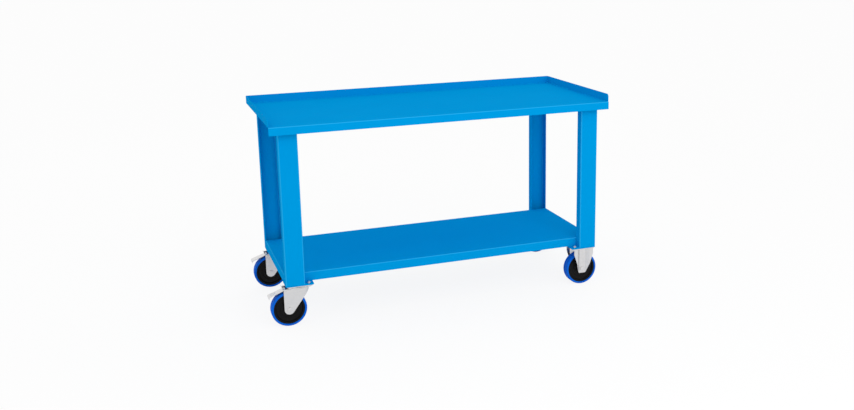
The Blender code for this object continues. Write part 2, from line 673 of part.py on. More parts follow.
def pedal_mesh():
    """Brake pedal about its pin: a tread towards -X with a lip at its tip, a release tab and two ears."""
    tread_path = [
        (PEDAL_EAR_RADIUS, PEDAL_OFFSET),
        (-PEDAL_LENGTH, PEDAL_OFFSET),
        (-PEDAL_LENGTH - PEDAL_LIP / 4, PEDAL_OFFSET - PEDAL_LIP),
    ]
    tread_section = folded(tread_path, PEDAL_SHEET, PEDAL_FOLD_RADIUS)
    tread = prism(tread_section, -PEDAL_TIP_WIDTH, PEDAL_TIP_WIDTH, "XZ")
    root_y = PEDAL_ROOT_WIDTH / 2
    tip_y = PEDAL_TIP_WIDTH / 2
    tip_centre = (-PEDAL_LENGTH - PEDAL_LIP + PEDAL_TIP_RADIUS, tip_y - PEDAL_TIP_RADIUS)
    tip_corner = arc(tip_centre, PEDAL_TIP_RADIUS, pi / 2, pi, CORNER_STEPS)
    side = [(2 * PEDAL_EAR_RADIUS, root_y), (-2 * PEDAL_EAR_RADIUS, root_y)] + tip_corner
    plan = prism(side + [(x, -y) for x, y in reversed(side)], -PEDAL_LENGTH, PEDAL_LENGTH, "XY")

    tab_path = [
        (-PEDAL_EAR_RADIUS / 2, PEDAL_OFFSET),
        (-PEDAL_EAR_RADIUS, PEDAL_OFFSET + RELEASE_TAB_HEIGHT / 3),
        (-PEDAL_EAR_RADIUS * 4 / 3, PEDAL_OFFSET + RELEASE_TAB_HEIGHT),
    ]
    tab_y = RELEASE_TAB_WIDTH / 2
    tab = prism(folded(tab_path, PEDAL_SHEET, PEDAL_FOLD_RADIUS), -tab_y, tab_y, "XZ")
    ear = arc((0, 0), PEDAL_EAR_RADIUS, pi, 2 * pi, 2 * CORNER_STEPS)
    ear += [(PEDAL_EAR_RADIUS, PEDAL_OFFSET), (-PEDAL_EAR_RADIUS, PEDAL_OFFSET)]
    outer = root_y - SEAT_GAP
    inner = outer - PEDAL_SHEET
    ears = [("UNION", prism(ear, low, high, "XZ")) for low, high in ((-outer, -inner), (inner, outer))]
    pin_hole = cylinder(PEDAL_PIN_DIAMETER / 2 + RUN_GAP, -2 * root_y, 2 * root_y, PIN_STEPS, "Y")
    return shaped(tread, ("INTERSECT", plan), ("UNION", tab), *ears, ("DIFFERENCE", pin_hole), name="pedal")


def pedal_pin_mesh():
    """Headed pin through the cheeks, on which the pedal rocks."""
    seat = axle_seat()
    shank = PEDAL_PIN_DIAMETER / 2
    head = PEDAL_PIN_HEAD_DIAMETER / 2
    end = seat + PEDAL_PIN_HEAD_HEIGHT
    half = [(0, end), (head, end), (head, seat), (shank, seat)]
    return turned(half + [(r, -y) for r, y in reversed(half)], PIN_STEPS, "Y", "pedal_pin")


def brake_shoe_mesh():
    """Shoe under the tread, where the braked tread comes nearest to the tyre."""
    top = PEDAL_OFFSET - PEDAL_SHEET / 2 - SEAT_GAP
    bottom = top - SHOE_THICKNESS
    end = SHOE_LENGTH / 2
    chamfer = SHOE_THICKNESS / 2
    outline = [
        (-SHOE_BACK - end, top),
        (-SHOE_BACK - end, bottom + chamfer),
        (-SHOE_BACK - end + chamfer, bottom),
        (-SHOE_BACK + end - chamfer, bottom),
        (-SHOE_BACK + end, bottom + chamfer),
        (-SHOE_BACK + end, top),
    ]
    return prism(outline, -SHOE_WIDTH / 2, SHOE_WIDTH / 2, "XZ", "brake_shoe")


def build_bench(bench, coat):
    """Worktop, legs, shelf and the plates and stiffeners that join them."""
    worktop = add_piece("worktop", worktop_surface(), coat, bench, (0, 0, WORK_SURFACE_HEIGHT))
    fold_and_thicken(worktop, TRAY_FOLD_RADIUS, WORKTOP_SHEET)
    shelf = add_piece("lower_shelf", shelf_surface(), coat, bench, (0, 0, SHELF_TOP))
    fold_and_thicken(shelf, TRAY_FOLD_RADIUS, SHELF_SHEET)

    hat_end = LEG_OUTER_X - LEG_WIDTH - HEAD_PLATE_OVERHANG - HAT_END_MARGIN
    worktop_hat = prism(hat_outline(), -hat_end, hat_end, "YZ", "worktop_stiffener")
    for side, sign in SIDES.items():
        place = (0, sign * HAT_SPACING / 2, HEAD_PLATE_TOP)
        add_piece(f"worktop_stiffener_{side}", worktop_hat, coat, bench, place)
    shelf_end = LEG_OUTER_X - FOOT_PLATE_LENGTH - HAT_END_MARGIN
    shelf_hat = prism(hat_outline(), -shelf_end, shelf_end, "YZ", "shelf_stiffener")
    add_piece("shelf_stiffener", shelf_hat, coat, bench, (0, 0, SHELF_TOP - SHELF_SHEET - SEAT_GAP))

    leg = leg_mesh()
    head_plate = head_plate_mesh()
    foot_plate = foot_plate_mesh()
    for side, y_sign in SIDES.items():
        turn = (0, 0, 0 if side == "front" else pi)
        for end, x_sign in ENDS.items():
            at_leg = (x_sign * LEG_X, y_sign * LEG_OUTER_Y, 0)
            at_caster = (x_sign * CASTER_X, y_sign * CASTER_Y, 0)
            add_piece(f"leg_{side}_{end}", leg, coat, bench, at_leg, turn)
            add_piece(f"leg_head_plate_{side}_{end}", head_plate, coat, bench, at_leg, turn)
            add_piece(f"foot_plate_{side}_{end}", foot_plate, coat, bench, at_caster)


def wheel_meshes():
    """Meshes of a wheel and its axle, by piece name."""
    return {
        "tyre": tyre_mesh(),
        "hub": hub_mesh(),
        "axle_sleeve": sleeve_mesh(),
        "axle_bolt": axle_bolt_mesh(),
        "axle_nut": axle_nut_mesh(),
    }


def add_wheel(label, meshes, finishes, carrier, axle_x):
    """A wheel on its axle. The carrier's origin is under the caster's middle, on the floor."""
    axle = add_frame(f"axle_{label}", carrier, (axle_x, 0, WHEEL_RADIUS))
    for piece, mesh in meshes.items():
        add_piece(f"{piece}_{label}", mesh, finishes[piece], axle)


def build_casters(bench, zinc, finishes):
    """Swivel casters with brakes at the left end, fixed casters at the right end."""
    wheel = wheel_meshes()
    top = {"top_plate": top_plate_mesh(), "upper_race": upper_race_mesh(), "kingpin": kingpin_mesh()}
    turning = {"fork": fork_mesh(), "ball_ring": ball_ring_mesh()}
    pedal_pin = pedal_pin_mesh()
    rocking = {"brake_pedal": pedal_mesh(), "brake_shoe": brake_shoe_mesh()}
    bracket = bracket_mesh()
    for side, sign in SIDES.items():
        label = f"{side}_left"
        fixed = add_frame(f"caster_{label}", bench, (-CASTER_X, sign * CASTER_Y, 0))
        for piece, mesh in top.items():
            add_piece(f"{piece}_{label}", mesh, zinc, fixed)
        swivel = add_frame(f"swivel_{label}", fixed)
        for piece, mesh in turning.items():
            add_piece(f"{piece}_{label}", mesh, zinc, swivel)
        add_wheel(label, wheel, finishes, swivel, -CASTER_TRAIL)
        pivot = add_frame(f"pedal_pivot_{label}", swivel, (-PIN_BACK, 0, PIN_HEIGHT))
        add_piece(f"pedal_pin_{label}", pedal_pin, zinc, pivot)
        for piece, mesh in rocking.items():
            add_piece(f"{piece}_{label}", mesh, finishes[piece], pivot, turn=(0, -TREAD_SLOPE, 0))

        label = f"{side}_right"
        fixed = add_frame(f"caster_{label}", bench, (CASTER_X, sign * CASTER_Y, 0))
        add_piece(f"bracket_{label}", bracket, zinc, fixed)
        add_wheel(label, wheel, finishes, fixed, 0)


def main():
    """Builds the bench in an empty scene."""
    for old in list(bpy.data.objects):
        bpy.data.objects.remove(old)
    coat = finish("blue_powder_coat", "#0096DC", 0.28)
    zinc = finish("zinc_plated_steel", "#D6D5D6", 0.35, 0.9)
    rubber = finish("blue_elastic_rubber", "#1157D0", 0.55)
    nylon = finish("black_moulded_nylon", "#161618", 0.45)
    finishes = {
        "tyre": rubber,
        "hub": nylon,
        "axle_sleeve": zinc,
        "axle_bolt": zinc,
        "axle_nut": zinc,
        "brake_pedal": zinc,
        "brake_shoe": nylon,
    }
    bench = add_frame("bench", at=(BENCH_X, 0, 0))
    build_bench(bench, coat)
    build_casters(bench, zinc, finishes)


main()
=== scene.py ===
"""Looks of the mobile workbench: blue powder-coated sheet steel on zinc-plated casters with blue tyres.

Units are metres and +Z is up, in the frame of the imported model: the front of the bench faces -Y and the
swivel casters stand at -X.
"""

import json
import logging
from dataclasses import dataclass, field
from enum import Enum
from math import acos, atan2, cos, hypot, pi, radians, sin, tan
from typing import Any, Optional, Sequence, Union

import bmesh
import bpy
import numpy as np
from mathutils import Matrix, Vector

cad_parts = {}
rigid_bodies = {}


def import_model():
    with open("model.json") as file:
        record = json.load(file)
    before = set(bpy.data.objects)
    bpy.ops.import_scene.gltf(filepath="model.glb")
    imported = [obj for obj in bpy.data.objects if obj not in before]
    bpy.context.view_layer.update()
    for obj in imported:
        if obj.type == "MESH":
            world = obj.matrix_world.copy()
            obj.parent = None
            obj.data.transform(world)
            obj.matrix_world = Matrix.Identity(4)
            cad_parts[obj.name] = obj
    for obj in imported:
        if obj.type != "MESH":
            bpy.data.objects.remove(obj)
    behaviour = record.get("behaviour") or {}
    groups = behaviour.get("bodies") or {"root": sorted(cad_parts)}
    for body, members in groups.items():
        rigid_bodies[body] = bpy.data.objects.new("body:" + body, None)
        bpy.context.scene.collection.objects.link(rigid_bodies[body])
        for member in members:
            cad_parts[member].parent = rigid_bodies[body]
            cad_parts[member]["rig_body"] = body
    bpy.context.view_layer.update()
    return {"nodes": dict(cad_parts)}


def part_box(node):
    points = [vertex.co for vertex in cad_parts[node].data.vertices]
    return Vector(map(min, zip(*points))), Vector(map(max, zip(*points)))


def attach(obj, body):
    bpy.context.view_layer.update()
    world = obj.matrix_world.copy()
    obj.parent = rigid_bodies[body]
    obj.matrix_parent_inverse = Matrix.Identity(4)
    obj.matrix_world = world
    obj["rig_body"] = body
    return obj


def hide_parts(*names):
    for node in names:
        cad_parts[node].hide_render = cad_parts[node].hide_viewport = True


for leftover in list(bpy.data.objects):
    bpy.data.objects.remove(leftover)

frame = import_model()

LOG = logging.getLogger("workbench")
Array = np.ndarray
Amount = Union[float, Array]
Point = Union[Array, Vector, Sequence[float]]
Line = Union[Array, Sequence[Sequence[float]]]

SEAT_GAP = 0.0003  # left by the CAD between pieces that touch
WELD_DISTANCE = 1e-6  # points nearer than this are one point
SHARP_ANGLE = radians(40)  # edges that bend further than this stay sharp
EDGE_SEGMENTS = 2  # facets of a sheet's softened edge
ARC_STEPS = 8  # facets of a rounded corner
SMALL_ARC_STEPS = 4  # the same in the section of a ring
FOLD_POINTS = 7  # points of the quarter circle of a fold
PLATE_EDGE_POINTS = 4  # the same at a plate's edge
HEXAGON_STEPS = AXLE_STEPS = 48  # facets of a full turn
THREAD_STEPS = WASHER_STEPS = 32
PIN_STEPS = 40
BEARING_STEPS = 96
ROUND_END = 0.47  # radius of a hexagon's round end, over its width across flats
CHAMFER = radians(30)  # slope of the cone that cuts a hexagon's corners
THREAD_RINGS = 8  # rings along each pitch of a thread
THREAD_DEPTH = 0.55  # over the pitch
ACROSS, BACK = (-1, 1), (1, -1)  # signs of a mirror image in a line's first or second coordinate
MIX_FACTOR, MIX_A, MIX_B, MIX_COLOUR = 0, 6, 7, 2  # sockets of a Mix node that mixes colours
# the fold attribute weights a painted highlight along the folds of the coat
FOLD_HIGHLIGHT = "fold"  # attribute: 0 on the flats of a sheet, 1 in the middle of its folds
# weights of the painted fold highlight across a tray's edge
TRAY_FOLD_HIGHLIGHT = np.append(np.sin(np.linspace(0, pi, FOLD_POINTS)), 0)  # its values from flat to edge of a tray


class Slot(Enum):
    """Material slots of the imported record."""

    COAT = "powder_coat"
    ZINC = "zinc_plate"
    TYRE = "tyre"
    HUB = "wheel_hub"
    SHOE = "brake_shoe"


class Axis(Enum):
    """Axis that a turned shape stands on, as the order in which its local axes become X, Y and Z."""

    Y = (0, 2, 1)
    Z = (0, 1, 2)


class Side(Enum):
    """Long sides of the bench, with the direction that each one faces along Y."""

    FRONT = -1
    REAR = 1


class End(Enum):
    """Short ends of the bench, with the direction that each one faces along X."""

    LEFT = -1
    RIGHT = 1


def label_of(side: Side, end: End) -> str:
    """Name of a corner of the bench, as the CAD nodes end with it."""
    return f"{side.name.lower()}_{end.name.lower()}"


def size_of(node: str) -> Vector:
    """Size of a CAD node's box."""
    low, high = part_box(node)
    return high - low


def middle_of(node: str) -> Vector:
    """Middle of a CAD node's box."""
    low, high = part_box(node)
    return (low + high) / 2


# ---------------------------------------- finishes


def linear(hex_colour: str) -> tuple[float, ...]:
    """Linear colour of an sRGB hex value.

    Args:
        hex_colour: colour as "#RRGGBB".

    Returns:
        Red, green, blue and an alpha of 1.
    """
    values = np.array([int(hex_colour[i : i + 2], 16) for i in (1, 3, 5)]) / 255
    colour = np.where(values <= 0.04045, values / 12.92, ((values + 0.055) / 1.055) ** 2.4)
    return (*colour.tolist(), 1.0)


def add_node(
    tree: bpy.types.NodeTree, kind: str, inputs: Optional[dict[Any, Any]] = None, **settings: Any
) -> bpy.types.Node:
    """Adds a node with its settings and what goes into its sockets.

    Args:
        tree: node tree that takes the node.
        kind: type name of the node.
        inputs: by socket name or number, an output socket to link or a value to set.
        settings: properties of the node.

    Returns:
        The new node.
    """
    node = tree.nodes.new(kind)
    for name, value in settings.items():
        setattr(node, name, value)
    for socket, value in (inputs or {}).items():
        if isinstance(value, bpy.types.NodeSocket):
            tree.links.new(value, node.inputs[socket])
        else:
            node.inputs[socket].default_value = value
    return node


def new_material(name: str) -> tuple[bpy.types.Material, bpy.types.NodeTree]:
    """An empty node material and its tree.

    Args:
        name: name of the material.

    Returns:
        The material and its node tree.
    """
    material = bpy.data.materials.new(name)
    material.use_nodes = True
    material.node_tree.nodes.clear()
    return material, material.node_tree


@dataclass(frozen=True)
class Finish:
    """Surface finish whose colour, roughness and relief each follow a noise of their own size.

    Cloud is the slow drift of colour over the surface, grain the fine relief that the process leaves and
    the gloss that goes with it. Both sizes are in metres. The fold colour is a painted highlight along the
    bends of a sheet.
    """

    name: str
    colour: str
    drift_colour: str
    roughness: tuple[float, float]
    cloud_size: float
    grain_size: float
    grain_height: float
    metallic: float = 0.0
    specular: float = 0.5
    fold_highlight_colour: Optional[str] = None
    cloud_detail: float = 3.0
    cloud_roughness: float = 0.55
    grain_detail: float = 2.0
    grain_span: tuple[float, float] = (0.3, 0.7)  # of the noise, over which the gloss changes

    def build(self) -> bpy.types.Material:
        """Material of this finish.

        Returns:
            A Principled material that reads Object coordinates, and paints a highlight along the folds if it
            has a fold highlight colour.
        """
        material, tree = new_material(self.name)
        place = add_node(tree, "ShaderNodeTexCoord").outputs["Object"]
        inputs = {"Vector": place, "Scale": 1 / self.cloud_size}
        inputs |= {"Detail": self.cloud_detail, "Roughness": self.cloud_roughness}
        cloud = add_node(tree, "ShaderNodeTexNoise", inputs).outputs[0]
        inputs = {"Vector": place, "Scale": 1 / self.grain_size, "Detail": self.grain_detail}
        grain = add_node(tree, "ShaderNodeTexNoise", inputs).outputs[0]
        inputs = {MIX_FACTOR: cloud, MIX_A: linear(self.colour), MIX_B: linear(self.drift_colour)}
        colour = add_node(tree, "ShaderNodeMix", inputs, data_type="RGBA").outputs[MIX_COLOUR]
        # painted highlight: a paler colour mixed in along the folds of a sheet, where gloss would show
        if self.fold_highlight_colour:
            fold_highlight_mask = add_node(tree, "ShaderNodeAttribute", attribute_name=FOLD_HIGHLIGHT).outputs["Fac"]
            inputs = {MIX_FACTOR: fold_highlight_mask, MIX_A: colour, MIX_B: linear(self.fold_highlight_colour)}
            colour = add_node(tree, "ShaderNodeMix", inputs, data_type="RGBA").outputs[MIX_COLOUR]
        ends = ("From Min", "From Max", "To Min", "To Max")
        inputs = {"Value": grain, **dict(zip(ends, self.grain_span + self.roughness))}
        gloss = add_node(tree, "ShaderNodeMapRange", inputs).outputs["Result"]
        inputs = {"Height": grain, "Strength": 1.0, "Distance": self.grain_height}
        relief = add_node(tree, "ShaderNodeBump", inputs).outputs["Normal"]
        inputs = {"Base Color": colour, "Roughness": gloss, "Normal": relief}
        inputs |= {"Metallic": self.metallic, "Specular IOR Level": self.specular}
        shader = add_node(tree, "ShaderNodeBsdfPrincipled", inputs).outputs["BSDF"]
        add_node(tree, "ShaderNodeOutputMaterial", {"Surface": shader})
        return material


# The coat and the wheels have less than the usual specular level of 0.5, because white surroundings in
# their gloss would wash the colours out.
FINISHES = {
    # Polyester powder, sprayed and baked on steel: an even saturated blue with a satin face and a faint
    # orange peel. The peel's real waves are about 2 mm, and are drawn 3 mm wide so that they show. A paler
    # line along each fold is a painted highlight, which stands in for the gloss on the rounded bend.
    Slot.COAT: Finish(
        name="polyester_powder_coat_blue", colour="#0097DA", drift_colour="#0092D6",
        roughness=(0.42, 0.54), cloud_size=0.180, grain_size=0.003, grain_height=0.00003,
        # the fold colour is a painted highlight along the folds
        specular=0.0002, fold_highlight_colour="#27A7E1",
    ),
    # Steel zinc-plated and clear passivated after pressing: pale silver-grey, softly mirroring, with the
    # cloudy patches that the bath leaves and the fine drawn texture of the sheet.
    Slot.ZINC: Finish(
        name="zinc_plated_pressed_steel", colour="#E4E2E1", drift_colour="#D5D5D6",
        roughness=(0.26, 0.42), cloud_size=0.014, grain_size=0.0016, grain_height=0.000012,
        metallic=1.0,
    ),
    # Elastic rubber, moulded in a blue non-marking mix: dull, a little uneven, with the mould's fine skin.
    Slot.TYRE: Finish(
        name="moulded_elastic_rubber_blue", colour="#0866D6", drift_colour="#075BC8",
        roughness=(0.48, 0.62), cloud_size=0.020, grain_size=0.0012, grain_height=0.00004,
        specular=0.06,
    ),
    # Polyamide, injection-moulded in black: a grey-black satin with the fine eroded texture of the mould.
    Slot.HUB: Finish(
        name="moulded_polyamide_black", colour="#0C0C0D", drift_colour="#121213",
        roughness=(0.36, 0.50), cloud_size=0.025, grain_size=0.0009, grain_height=0.00003,
        specular=0.12,
    ),
    # Brake lining, hard rubber bonded to the pedal: matt and nearly black, with a coarse crumb.
    Slot.SHOE: Finish(
        name="bonded_brake_rubber_black", colour="#1B1B1B", drift_colour="#262524",
        roughness=(0.62, 0.80), cloud_size=0.006, grain_size=0.0008, grain_height=0.00006, specular=0.3,
    ),
}


# ---------------------------------------- numpy surfaces


class Surface:
    """Grids and flat faces that are gathered into one mesh."""

    def __init__(self) -> None:
        """Starts with no points and no faces."""
        self.points: list[Array] = []
        self.folds: list[Array] = []
        self.faces: list[list[int]] = []
        self.count = 0

    @classmethod
    def of(cls, *grids: Array, **joins: Any) -> "Surface":
        """Surface of grids that are all joined alike.

        Args:
            grids: rows by columns of points, each.
            joins: how they are joined, as for add_grid.

        Returns:
            The new surface.
        """
        surface = cls()
        for points in grids:
            surface.add_grid(points, **joins)
        return surface

    def add_points(self, points: Array, fold: Amount = 0.0) -> Array:
        """Adds points.

        Args:
            points: array whose last axis is X, Y and Z.
            fold: how far the points lie in a fold of the sheet, from 0 to 1, which sets the painted
                highlight there.

        Returns:
            The points' numbers, in the array's shape.
        """
        flat = np.asarray(points, float).reshape(-1, 3)
        shape = np.shape(points)[:-1]
        numbers = np.arange(self.count, self.count + len(flat)).reshape(shape)
        self.points.append(flat)
        self.folds.append(np.broadcast_to(fold, shape).ravel())
        self.count += len(flat)
        return numbers

    def add_grid(
        self,
        points: Array,
        wrap_rows: bool = False,
        wrap_columns: bool = False,
        caps: bool = False,
        fold: Amount = 0.0,
    ) -> Array:
        """Adds a grid of points with a four-sided face in each of its cells.

        Args:
            points: rows by columns of points.
            wrap_rows: joins the last row to the first.
            wrap_columns: joins the last column to the first.
            caps: adds a flat face on the first and on the last row.
            fold: as for add_points.

        Returns:
            The points' numbers, as rows by columns.
        """
        numbers = self.add_points(points, fold)
        lines = np.concatenate([numbers, numbers[:1]], 0) if wrap_rows else numbers
        lines = np.concatenate([lines, lines[:, :1]], 1) if wrap_columns else lines
        cells = np.stack([lines[:-1, :-1], lines[1:, :-1], lines[1:, 1:], lines[:-1, 1:]], -1)
        self.faces += cells.reshape(-1, 4).tolist()
        if caps:
            self.add_face(numbers[0])
            self.add_face(numbers[-1])
        return numbers

    def add_face(self, numbers: Array) -> None:
        """Adds one flat face through numbered points."""
        self.faces.append(np.ravel(numbers).tolist())

    def to_mesh(self, name: str) -> bpy.types.Mesh:
        """Mesh of the surface, with its seams closed and its faces pointing out.

        Args:
            name: name of the mesh.

        Returns:
            The mesh, smooth except at its sharp edges.
        """
        mesh = bpy.data.meshes.new(name)
        mesh.from_pydata(np.concatenate(self.points).tolist(), [], self.faces)
        # weights of the painted highlight along the folds, kept as a point attribute
        folds = np.concatenate(self.folds).astype(np.float32)
        if folds.any():
            mesh.attributes.new(FOLD_HIGHLIGHT, "FLOAT", "POINT").data.foreach_set("value", folds)
        bm = bmesh.new()
        bm.from_mesh(mesh)
        bmesh.ops.remove_doubles(bm, verts=bm.verts, dist=WELD_DISTANCE)
        bmesh.ops.dissolve_degenerate(bm, edges=bm.edges, dist=WELD_DISTANCE)
        bmesh.ops.recalc_face_normals(bm, faces=bm.faces)
        bm.to_mesh(mesh)
        bm.free()
        mesh.shade_smooth()
        mesh.set_sharp_from_angle(angle=SHARP_ANGLE)
        return mesh


def points_at(x: Amount, y: Amount, z: Amount) -> Array:
    """Points with the given coordinates, spread to one shape."""
    return np.stack(np.broadcast_arrays(x, y, z), -1)


def full_turn(steps: int) -> Array:
    """Angles of a full turn in equal steps, without its end."""
    return np.linspace(0, 2 * pi, steps, endpoint=False)


def rectangle(length: float, width: float) -> Array:
    """Corners of a rectangle about its middle, counter-clockwise."""
    return np.array([(-1, -1), (1, -1), (1, 1), (-1, 1)]) * (length / 2, width / 2)


def mirrored(half: Union[Line, Sequence[float]], signs: Union[int, tuple[int, int]] = 1) -> Array:
    """Half a line, or of what goes with its corners, followed by its mirror image from the end back."""
    half = np.asarray(half, float)
    return np.concatenate([half, half[::-1] * signs])


def quarter(radius: float, count: int = FOLD_POINTS) -> tuple[Array, Array]:
    """Quarter circle from a flat to a wall, as its points' distances from the wall and from the flat."""
    turn = np.linspace(0, pi / 2, count)
    return radius * (1 - np.sin(turn)), radius * (1 - np.cos(turn))


def dome(radius: float, height: float, straight: float, count: int) -> Array:
    """Profile of a head from its pole to its side: a quarter ellipse on a share of straight height."""
    turn = np.linspace(0, pi / 2, count)
    return np.stack([radius * np.sin(turn), height * (straight + (1 - straight) * np.cos(turn))], -1)


def fillet(
    corners: Line, radius: Union[Amount, Sequence[float]], steps: int = ARC_STEPS, closed: bool = False
) -> tuple[Array, Array]:
    """Line through corners that are rounded to arcs.

    Each arc starts at its radius times the tangent of half the turn before its corner, and is swept in
    equal angles about a centre that lies one radius to the inner side.

    Args:
        corners: points of the line in its plane.
        radius: one radius, or one for each rounded corner.
        steps: facets of each arc.
        closed: whether the last corner leads back to the first, and both are rounded.

    Returns:
        Points along the line, and at each one the unit normal to its left.
    """
    corners = np.asarray(corners, float)
    before = np.roll(corners, 1, 0) if closed else corners[:-2]
    after = np.roll(corners, -1, 0) if closed else corners[2:]
    inner = corners if closed else corners[1:-1]
    into = (inner - before) / np.linalg.norm(inner - before, axis=1, keepdims=True)
    out = (after - inner) / np.linalg.norm(after - inner, axis=1, keepdims=True)
    turn = np.arctan2(into[:, 0] * out[:, 1] - into[:, 1] * out[:, 0], (into * out).sum(1))
    radius = np.broadcast_to(np.asarray(radius, float), turn.shape)
    start = inner - into * (radius * np.tan(np.abs(turn) / 2))[:, None]
    angle = turn[:, None] * np.linspace(0, 1, steps + 1)
    left = np.stack([-into[:, 1], into[:, 0]], -1)[:, None]
    turned_left = np.stack([-left[..., 1], left[..., 0]], -1)
    normal = np.cos(angle)[..., None] * left + np.sin(angle)[..., None] * turned_left
    point = start[:, None] + (np.sign(turn) * radius)[:, None, None] * (left - normal)
    points, normals = point.reshape(-1, 2), normal.reshape(-1, 2)
    if closed:
        return points, normals
    points = np.concatenate([corners[:1], points, corners[-1:]])
    return points, np.concatenate([normals[:1], normals, normals[-1:]])


def fold_highlight_of(corners: int) -> Array:
    """Weight of the painted fold highlight on the points of an open filleted line: half a sine wave along
    each arc.
    """
    return np.concatenate([[0], np.tile(np.sin(np.linspace(0, pi, ARC_STEPS + 1)), corners), [0]])


def resample(line: Array, spacing: float) -> Array:
    """Points at even lengths along a line.

    Args:
        line: points of the line.
        spacing: wanted length between points.

    Returns:
        New points on the straight pieces between the old ones, with both ends.
    """
    length = np.append(0, np.cumsum(np.linalg.norm(np.diff(line, axis=0), axis=1)))
    stations = np.linspace(0, length[-1], int(length[-1] / spacing) + 2)
    return np.stack([np.interp(stations, length, column) for column in line.T], -1)


def about_axis(radius: Array, turn: Array, height: Array, axis: Axis, at: Point) -> Array:
    """Points at a radius times cosine and sine of a turn, and at a height along the axis from a point."""
    local = points_at(radius * np.cos(turn), radius * np.sin(turn), height)
    return local[..., axis.value] + np.asarray(at, float)


def turned(profile: Line, steps: int, axis: Axis, at: Point) -> Array:
    """Rings of a profile, given as radius and height, that is turned about an axis through a point."""
    profile = np.asarray(profile, float)
    return about_axis(profile[:, :1], full_turn(steps), profile[:, 1:], axis, at)


def ring_surface(
    corners: Line, radius: Amount, steps: int, axis: Axis, at: Point, arc_steps: int = SMALL_ARC_STEPS
) -> Surface:
    """Solid ring: a closed section with rounded corners, turned about an axis through a point."""
    section, _ = fillet(corners, radius, arc_steps, closed=True)
    return Surface.of(turned(section, steps, axis, at), wrap_rows=True, wrap_columns=True)


def hexagon_rings(flats: float, low: float, high: float, axis: Axis, at: Point, both: bool) -> Array:
    """Hexagon of a bolt head or nut, with its corners cut by a cone.

    The radius is half the width across flats over the cosine of the turn from the middle of the nearest
    flat. A corner is cut lower by its reach past the round end times the tangent of the cone's slope.

    Args:
        flats: width across flats.
        low: height of one end.
        high: height of the end that is cut.
        axis: axis of the hexagon.
        at: point on the axis that heights are counted from.
        both: whether the other end is cut as well.

    Returns:
        Closed rings from one pole to the other.
    """
    turn = full_turn(HEXAGON_STEPS)
    reach = flats / 2 / np.cos((turn + pi / 6) % (pi / 3) - pi / 6)
    end, pole = np.full_like(turn, ROUND_END * flats), np.zeros_like(turn)
    drop = (reach - end) * tan(CHAMFER) * np.sign(high - low)
    radius = np.stack([pole, end, reach, reach, end if both else reach, pole])
    height = np.stack([pole + high, pole + high, high - drop, low + drop * both, pole + low, pole + low])
    return about_axis(radius, turn, height, axis, at)


def thread_rings(radius: float, low: float, high: float, pitch: float, axis: Axis, at: Point) -> Array:
    """Threaded end of a bolt.

    The radius dips by the thread's depth times half of one minus the cosine of a phase, which runs once
    per pitch along the axis and once per turn about it. The last half pitch tapers.

    Args:
        radius: outer radius of the thread.
        low: height where the thread starts.
        high: height of the free end.
        pitch: climb of the thread in one turn.
        axis: axis of the bolt.
        at: point on the axis that heights are counted from.

    Returns:
        Closed rings, of which the first and the last are poles.
    """
    turn = full_turn(THREAD_STEPS)
    height = np.linspace(low, high, int(THREAD_RINGS * abs(high - low) / pitch) + 2)[:, None]
    wave = 0.5 - 0.5 * np.cos(2 * pi * height / pitch - turn)
    taper = np.clip(1 - np.abs(high - height) / (pitch / 2), 0, 1)
    reach = radius - THREAD_DEPTH * pitch * np.maximum(wave, taper)
    ends = ((1, 1), (0, 0))
    return about_axis(np.pad(reach, ends), turn, np.pad(height, ends, "edge"), axis, at)


def plate_rings(length: float, width: float, corner: float, low: float, high: float, edge: float) -> Array:
    """Flat plate with round corners and softened edges.

    The rectangle's rounded outline is carried up the side and, near each face, drawn in along a quarter
    circle of the edge's radius.

    Args:
        length: size along X.
        width: size along Y.
        corner: radius of the corners seen from above.
        low: height of the lower face.
        high: height of the upper face.
        edge: radius of the edges.

    Returns:
        Closed rings from the lower face to the upper one, about the middle of the plate.
    """
    outline, inward = fillet(rectangle(length, width), corner, closed=True)
    inset, rise = quarter(edge, PLATE_EDGE_POINTS)
    flat = outline + inward * mirrored(inset)[:, None, None]
    height = np.concatenate([low + rise, high - rise[::-1]])
    return points_at(flat[..., 0], flat[..., 1], height[:, None])


@dataclass
class Maker:
    """Turns surfaces into finished pieces that ride on the bodies of the CAD."""

    materials: dict[Slot, bpy.types.Material]
    made: int = 0

    def piece(
        self,
        name: str,
        surface: Surface,
        slot: Slot,
        node: str,
        label: str = "",
        sheet: float = 0.0,
        edge: float = 0.0,
        added: bool = False,
    ) -> None:
        """Makes a piece of the object.

        Args:
            name: name of the piece.
            surface: its surface, or the middle of its sheet.
            slot: material slot that it takes its finish from.
            node: CAD node whose body it rides on, and which it is shown instead of.
            label: corner of the bench that both names end with, if any.
            sheet: thickness of the sheet, where the surface is its middle.
            edge: radius of the softened edges.
            added: whether it is an addition, and another piece is shown instead of the node.
        """
        if label:
            name, node = f"{name}_{label}", f"{node}_{label}"
        body = frame["nodes"][node]["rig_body"]
        piece = bpy.data.objects.new(name, surface.to_mesh(name))
        bpy.context.scene.collection.objects.link(piece)
        piece.data.materials.append(self.materials[slot])
        if sheet:
            thick = piece.modifiers.new("sheet", "SOLIDIFY")
            thick.thickness, thick.offset, thick.use_even_offset = sheet, 0, True
        if edge:
            soft = piece.modifiers.new("edges", "BEVEL")
            soft.width, soft.segments = edge, EDGE_SEGMENTS
            soft.limit_method, soft.angle_limit = "ANGLE", SHARP_ANGLE
            piece.modifiers.new("flats", "WEIGHTED_NORMAL")
        stands_for = [] if added else [node]
        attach(piece, body)
        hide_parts(*stands_for)
        self.made += 1
        LOG.info("%s rides on %s, in %s", name, body, slot.value)


# ---------------------------------------- bench frame


